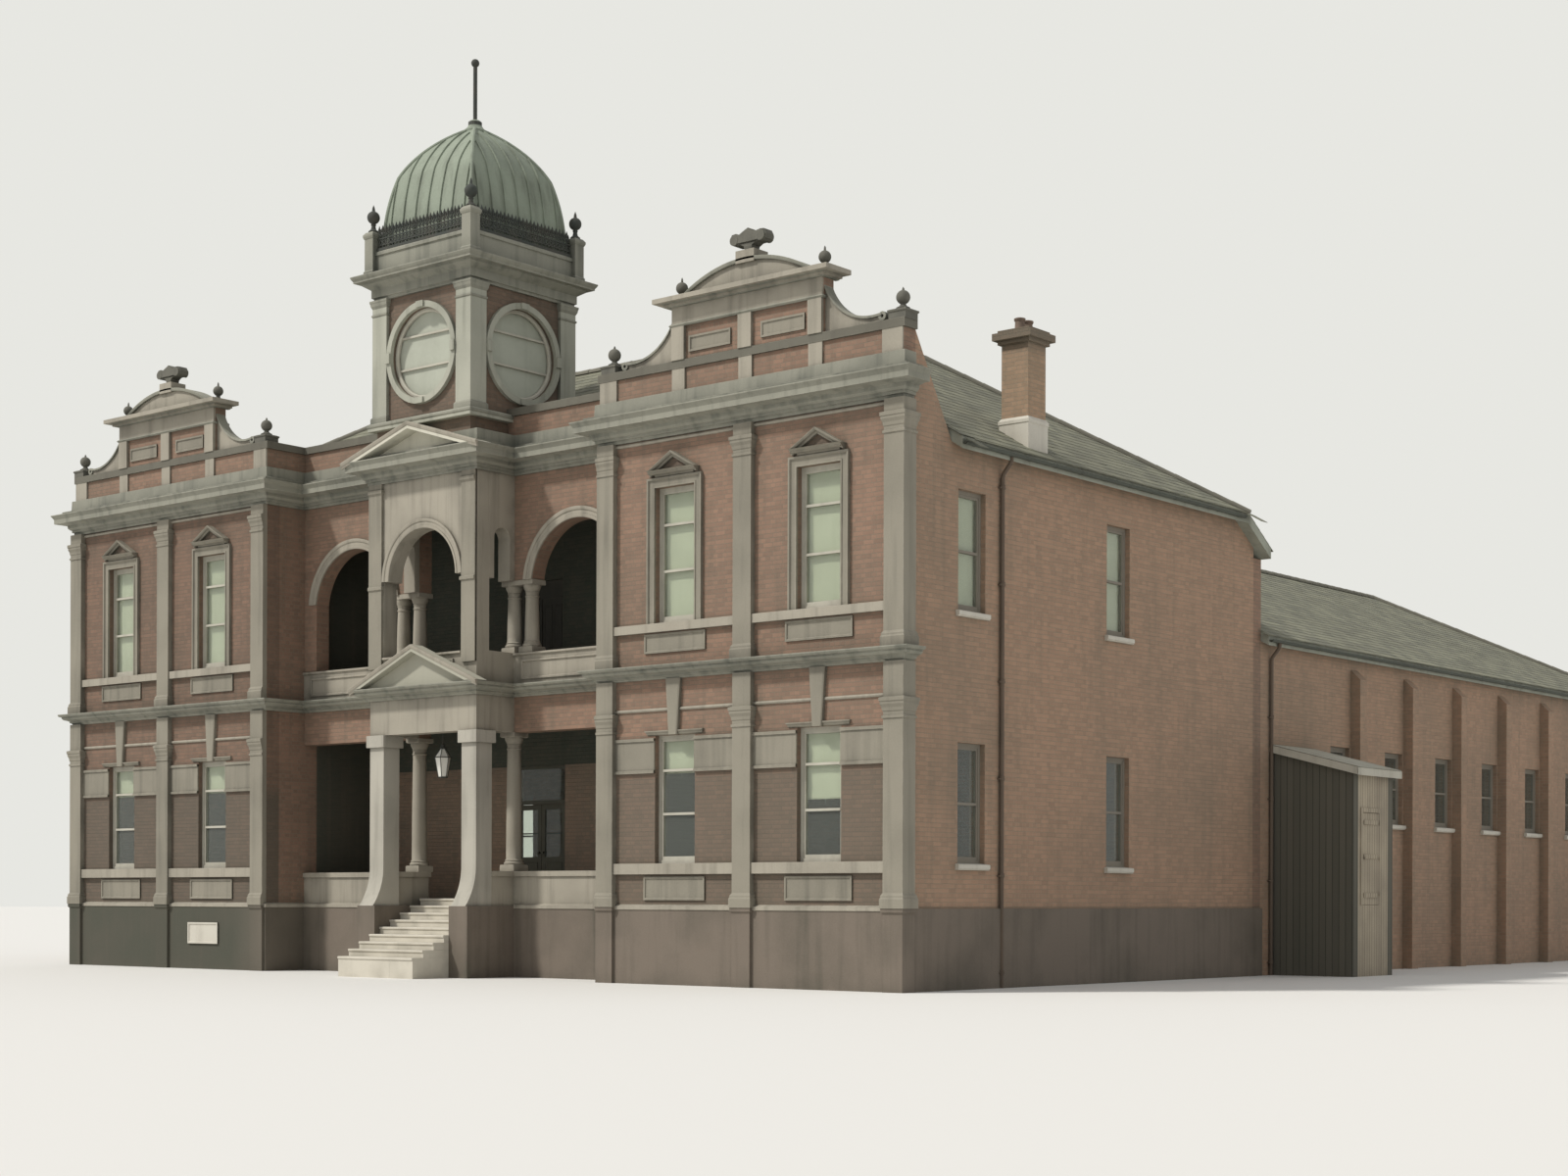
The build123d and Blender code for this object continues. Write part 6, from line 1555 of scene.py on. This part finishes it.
def hanging_lantern():
    """A six-sided lantern of pale glass in an iron frame, on a rod from the porch ceiling."""
    low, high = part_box("lantern")
    x, y = (low.x + high.x) / 2, (low.y + high.y) / 2
    radius = (high.x - low.x) / 2
    foot, wide, top = low.z + 0.02, low.z + 0.45, low.z + 0.65
    glass, iron = bmesh.new(), bmesh.new()
    turned(glass, x, y, [(0.095, foot), (radius - 0.02, wide), (0.05, top - 0.02)], 6)
    corners = [(math.cos(math.pi * n / 3), math.sin(math.pi * n / 3)) for n in range(6)]
    for a, b in corners:
        tube(iron, [(x + 0.10 * a, y + 0.10 * b, foot), (x + (radius - 0.012) * a, y + (radius - 0.012) * b, wide),
                    (x + 0.055 * a, y + 0.055 * b, top)], 0.008, 5)
    for reach, level in ((0.10, foot), (radius - 0.012, wide)):
        ring = [(x + reach * a, y + reach * b) for a, b in corners]
        swept(iron, [[(px + (px - x) * d, py + (py - y) * d, level + up) for px, py in ring]
                     for d, up in ((0.0, -0.01), (0.08, -0.01), (0.08, 0.01), (0.0, 0.01))], closed=True)
    turned(iron, x, y, [(0.02, low.z), (0.06, low.z + 0.008), (0.09, foot)], 12)
    turned(iron, x, y, [(0.07, top - 0.01), (0.08, top + 0.01), (0.04, top + 0.04), (0.045, top + 0.07),
                        (0.02, top + 0.10), (0.012, top + 0.12), (0.012, high.z - 0.05), (0.05, high.z - 0.03),
                        (0.06, high.z)], 12)
    pale = mesh_from(glass, "lantern_panes")
    pale.materials.append(LAMP_GLASS)
    frame_work = smooth_round(mesh_from(iron, "lantern_frame"))
    frame_work.materials.append(IRON)
    add_piece("lantern_frame", frame_work, "iron", stands_for=("lantern",))
    add_piece("lantern_panes", pale, "glass")


# ---------------------------------------------------------------- gutters, lean-to and chimneys

GUTTER_WIDTH = 0.106


def half_round_gutter(work, x, out, start, end, rim):
    """A half-round gutter along Y, its back at x and its front at x + out."""
    radius = abs(out) / 2
    middle = x + out / 2
    profile = []
    for size, turns in ((radius, range(13)), (radius - 0.006, range(12, -1, -1))):
        for n in turns:
            angle = math.pi + math.pi * n / 12
            profile.append((middle + size * math.cos(angle), rim + size * math.sin(angle)))
    swept(work, [[(px, start, pz), (px, end, pz)] for px, pz in profile])
    for y in (start, end - 0.005):
        disc = [(middle + (radius - 0.001) * math.cos(math.pi + math.pi * n / 12), rim - 0.001
                 + (radius - 0.001) * math.sin(math.pi + math.pi * n / 12)) for n in range(13)]
        swept(work, [[(px, y, pz), (px, y + 0.005, pz)] for px, pz in disc])
    edge = middle + math.copysign(radius, out)
    tube(work, [(edge, start, rim), (edge, end, rim)], 0.008, 6)


def downpipe(work, wall, away, y, rim):
    """A round pipe with collars and straps, from a gutter down to the ground."""
    x, mouth = wall + away * 0.056, wall + away * 0.255
    tube(work, [(x, y, 0), (x, y, rim - 0.435), (x + away * 0.02, y, rim - 0.355),
                (mouth - away * 0.025, y, rim - 0.175), (mouth, y, rim - 0.115), (mouth, y, rim - 0.05)], 0.042, 14)
    level = 0.25
    while level < rim - 0.6:
        turned(work, x, y, [(0.043, level), (0.052, level + 0.01), (0.052, level + 0.07), (0.056, level + 0.075),
                            (0.056, level + 0.09), (0.043, level + 0.095)], 14)
        near, far = sorted((wall, wall + away * 0.07))
        add_block(work, (near, y - 0.085, level + 0.025), (far, y + 0.085, level + 0.055))
        level += 1.85


def rain_goods():
    """Half-round gutters on brackets, and round downpipes with collars and straps."""
    gutters, pipes, brackets = bmesh.new(), bmesh.new(), []
    main_rim, hall_rim = 10.155, 7.557
    hall_right, hall_left = HALL_HIGH.x + 0.202, HALL_LOW.x - 0.202
    for x, side, run, straps, rim in (
        (13.152, 1, (1.5, 12.19), (1.8, 11.9), main_rim), (-13.152, -1, (1.5, 12.19), (1.8, 11.9), main_rim),
        (hall_right, 1, (13.52, 37.5), (14.0, 37.2), hall_rim), (hall_left, -1, (13.82, 37.5), (14.2, 37.2), hall_rim),
    ):
        half_round_gutter(gutters, x, side * GUTTER_WIDTH, *run, rim)
        middle = x + side * GUTTER_WIDTH / 2
        brackets.append([(middle, y, rim) for y in straps])
    for side in SIDES:
        downpipe(pipes, side * WALL_HALF, side, 3.10, main_rim)
    downpipe(pipes, HALL_HIGH.x, 1, MAIN_BACK + 0.42, hall_rim)
    strap = bmesh.new()
    arc = [(0.058 * math.cos(math.pi + math.pi * n / 8), 0.058 * math.sin(math.pi + math.pi * n / 8)) for n in range(9)]
    inner = [(y * 0.93, z * 0.93) for y, z in reversed(arc)]
    swept(strap, [[(-0.012, y, z), (0.012, y, z)] for y, z in arc + inner])
    shape = mesh_from(gutters, "gutters")
    shape.materials.append(GUTTER)
    straps = copies_along(brackets, mesh_from(strap, "gutter_strap"), 0.9, GUTTER)
    add_piece("round_gutters", smooth_round(join_meshes("round_gutters", [shape, straps])), "gutter",
              stands_for=("rain_goods",))
    add_shape("downpipes", pipes, "gutter", bend=35, finish=PIPE_PAINT)


def corrugated_roof():
    """Corrugated sheets over the lean-to, with a pale board along each edge."""
    low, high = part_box("lean_to_roof")
    slope = (high.z - low.z - 0.09) / (high.x - low.x)
    wave, depth = 0.076, 0.018
    count = round((high.y - low.y + 0.04) / wave)
    steps = count * 8
    start = low.y - 0.02
    outer, inner = [], []
    for n in range(steps + 1):
        y = start + wave * n / 8
        up = depth / 2 * math.cos(2 * math.pi * n / 8)
        outer.append((y, 0.014 + up))
        inner.append((y, 0.012 + up))
    work = bmesh.new()
    ends = ((HALL_HIGH.x + 0.001, high.z), (high.x + 0.03, high.z - slope * (high.x + 0.03 - HALL_HIGH.x)))
    swept(work, [[(x, y, z + up) for x, z in ends] for y, up in outer + inner[::-1]])
    add_shape("corrugated_sheets", work, "metal_roof", bend=60, finish=PALE_SHEET)
    work = bmesh.new()
    tip = high.x + 0.01
    for y0, y1 in ((low.y - 0.022, low.y - 0.001), (high.y + 0.001, high.y + 0.022)):
        swept(work, [[(HALL_HIGH.x, y, high.z + up), (tip, y, high.z + up - slope * (tip - HALL_HIGH.x))]
                     for y, up in ((y0, -0.16), (y1, -0.16), (y1, 0.006), (y0, 0.006))])
    end = high.z - slope * (high.x - HALL_HIGH.x)
    add_block(work, (high.x + 0.001, low.y - 0.022, end - 0.17), (high.x + 0.02, high.y + 0.022, end - 0.005))
    add_shape("lean_to_fascias", work, "paint")


def battened_door():
    """Ledges and a frame on the lean-to's door and round its opening."""
    low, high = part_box("lean_to_door")
    face = HALL_HIGH.x + 2.0
    work = bmesh.new()
    for level in (low.z + 0.16, (low.z + high.z) / 2, high.z - 0.26):
        add_block(work, (face, 14.57, level), (face + 0.02, 15.27, level + 0.10))
    add_shape("lean_to_door_ledges", work, "paint", body="lean_to_leaf", finish=PALE_BOARDS)
    work = bmesh.new()
    add_block(work, (face, 14.39, low.z - 0.008), (face + 0.022, 14.495, high.z + 0.11))
    add_block(work, (face, 14.495, high.z + 0.012), (face + 0.022, 15.36, high.z + 0.11))
    add_shape("lean_to_door_frame", work, "paint", finish=PALE_BOARDS)


CHIMNEY_X, CHIMNEY_Y = 12.49, 4.50


def chimney_dressings():
    """A rendered foot, moulded rings and clay pots on both chimneys."""
    work, clay = bmesh.new(), bmesh.new()
    for side in SIDES:
        x, y = side * CHIMNEY_X, CHIMNEY_Y
        stacked(work, x, y, [(0.33, 10.20), (0.345, 10.22), (0.345, 10.98), (0.36, 11.00), (0.36, 11.06),
                             (0.315, 11.12)])
        for turn in SIDES:
            turned(clay, x, y + turn * 0.14, [(0.115, 12.84), (0.12, 12.86), (0.10, 12.90), (0.095, 13.02),
                                              (0.115, 13.05), (0.115, 13.08), (0.09, 13.09)], 16)
    add_shape("chimney_feet", work, "stucco", finish=SILL_PAINT)
    add_shape("chimney_pots", clay, "brick", bend=35, finish=CLAY)


# ---------------------------------------------------------------- camera, light and floor

def build_camera():
    """The photograph's camera."""
    lens = bpy.data.cameras.new("camera")
    lens.sensor_width = 36
    lens.lens = CAMERA_LENS
    lens.shift_x, lens.shift_y = CAMERA_SHIFT
    lens.clip_start, lens.clip_end = 0.5, 500
    camera = bpy.data.objects.new("camera", lens)
    turn = Matrix.Rotation(math.radians(CAMERA_TURN), 4, "Z") @ Matrix.Rotation(math.radians(90), 4, "X")
    camera.matrix_world = (
        Matrix.Translation(CAMERA_PLACE) @ turn @ Matrix.Rotation(math.radians(CAMERA_ROLL), 4, "Z")
    )
    scene.collection.objects.link(camera)
    scene.camera = camera


def build_stage():
    """A pale floor, a pale even sky and one soft lamp from the front left."""
    scene.view_settings.view_transform = "Standard"
    work = bmesh.new()
    bmesh.ops.create_circle(work, cap_ends=True, segments=48, radius=400)
    mesh = bpy.data.meshes.new("floor")
    work.to_mesh(mesh)
    work.free()
    material, tree, shader = new_material("pale_floor")
    shader.inputs["Base Color"].default_value = (0.74, 0.73, 0.70, 1)
    shader.inputs["Roughness"].default_value = 0.9
    mesh.materials.append(material)
    floor = bpy.data.objects.new("floor", mesh)
    scene.collection.objects.link(floor)

    world = bpy.data.worlds.new("soft_sky")
    world.use_nodes = True
    scene.world = world
    tree = world.node_tree
    seen, lit = tree.nodes["Background"], tree.nodes.new("ShaderNodeBackground")
    seen.inputs["Color"].default_value = (0.80, 0.80, 0.76, 1)
    lit.inputs["Color"].default_value = (0.97, 0.98, 1.0, 1)
    lit.inputs["Strength"].default_value = SKY_STRENGTH
    path = tree.nodes.new("ShaderNodeLightPath")
    shown = maths(tree, "MAXIMUM", path.outputs["Is Camera Ray"],
                  maths(tree, "MAXIMUM", path.outputs["Is Glossy Ray"], path.outputs["Is Transmission Ray"]))
    pick = tree.nodes.new("ShaderNodeMixShader")
    tree.links.new(shown, pick.inputs[0])
    tree.links.new(lit.outputs[0], pick.inputs[1])
    tree.links.new(seen.outputs[0], pick.inputs[2])
    tree.links.new(pick.outputs[0], tree.nodes["World Output"].inputs["Surface"])

    sun = bpy.data.lights.new("soft_sun", "SUN")
    sun.energy = SUN_STRENGTH
    sun.angle = math.radians(5)
    sun.color = (1.0, 0.97, 0.92)
    lamp = bpy.data.objects.new("soft_sun", sun)
    lamp.rotation_euler = Vector(SUN_FROM).to_track_quat("Z", "Y").to_euler()
    scene.collection.objects.link(lamp)


# ---------------------------------------------------------------- the scene

SKY_STRENGTH = 0.52
SUN_STRENGTH = 2.7
SUN_FROM = (-0.52, -0.68, 1.0)

build_camera()
build_stage()
finish_frame_nodes()
for make in (
    front_mouldings, front_pilasters, window_dressings, front_facing, arch_rings, round_columns, loggia_facing,
    main_pediments, tower_mouldings, tower_ironwork, dome_seams, tower_eyes, tower_ledges, attic_mouldings, finials,
    window_sashes, roller_blinds, window_sills, door_panels, stone_steps, hanging_lantern, rain_goods,
    corrugated_roof, battened_door, chimney_dressings,
):
    make()
slated_roof("main_roof_slates", "main_roof")
slated_roof("hall_roof_slates", "hall_roof")
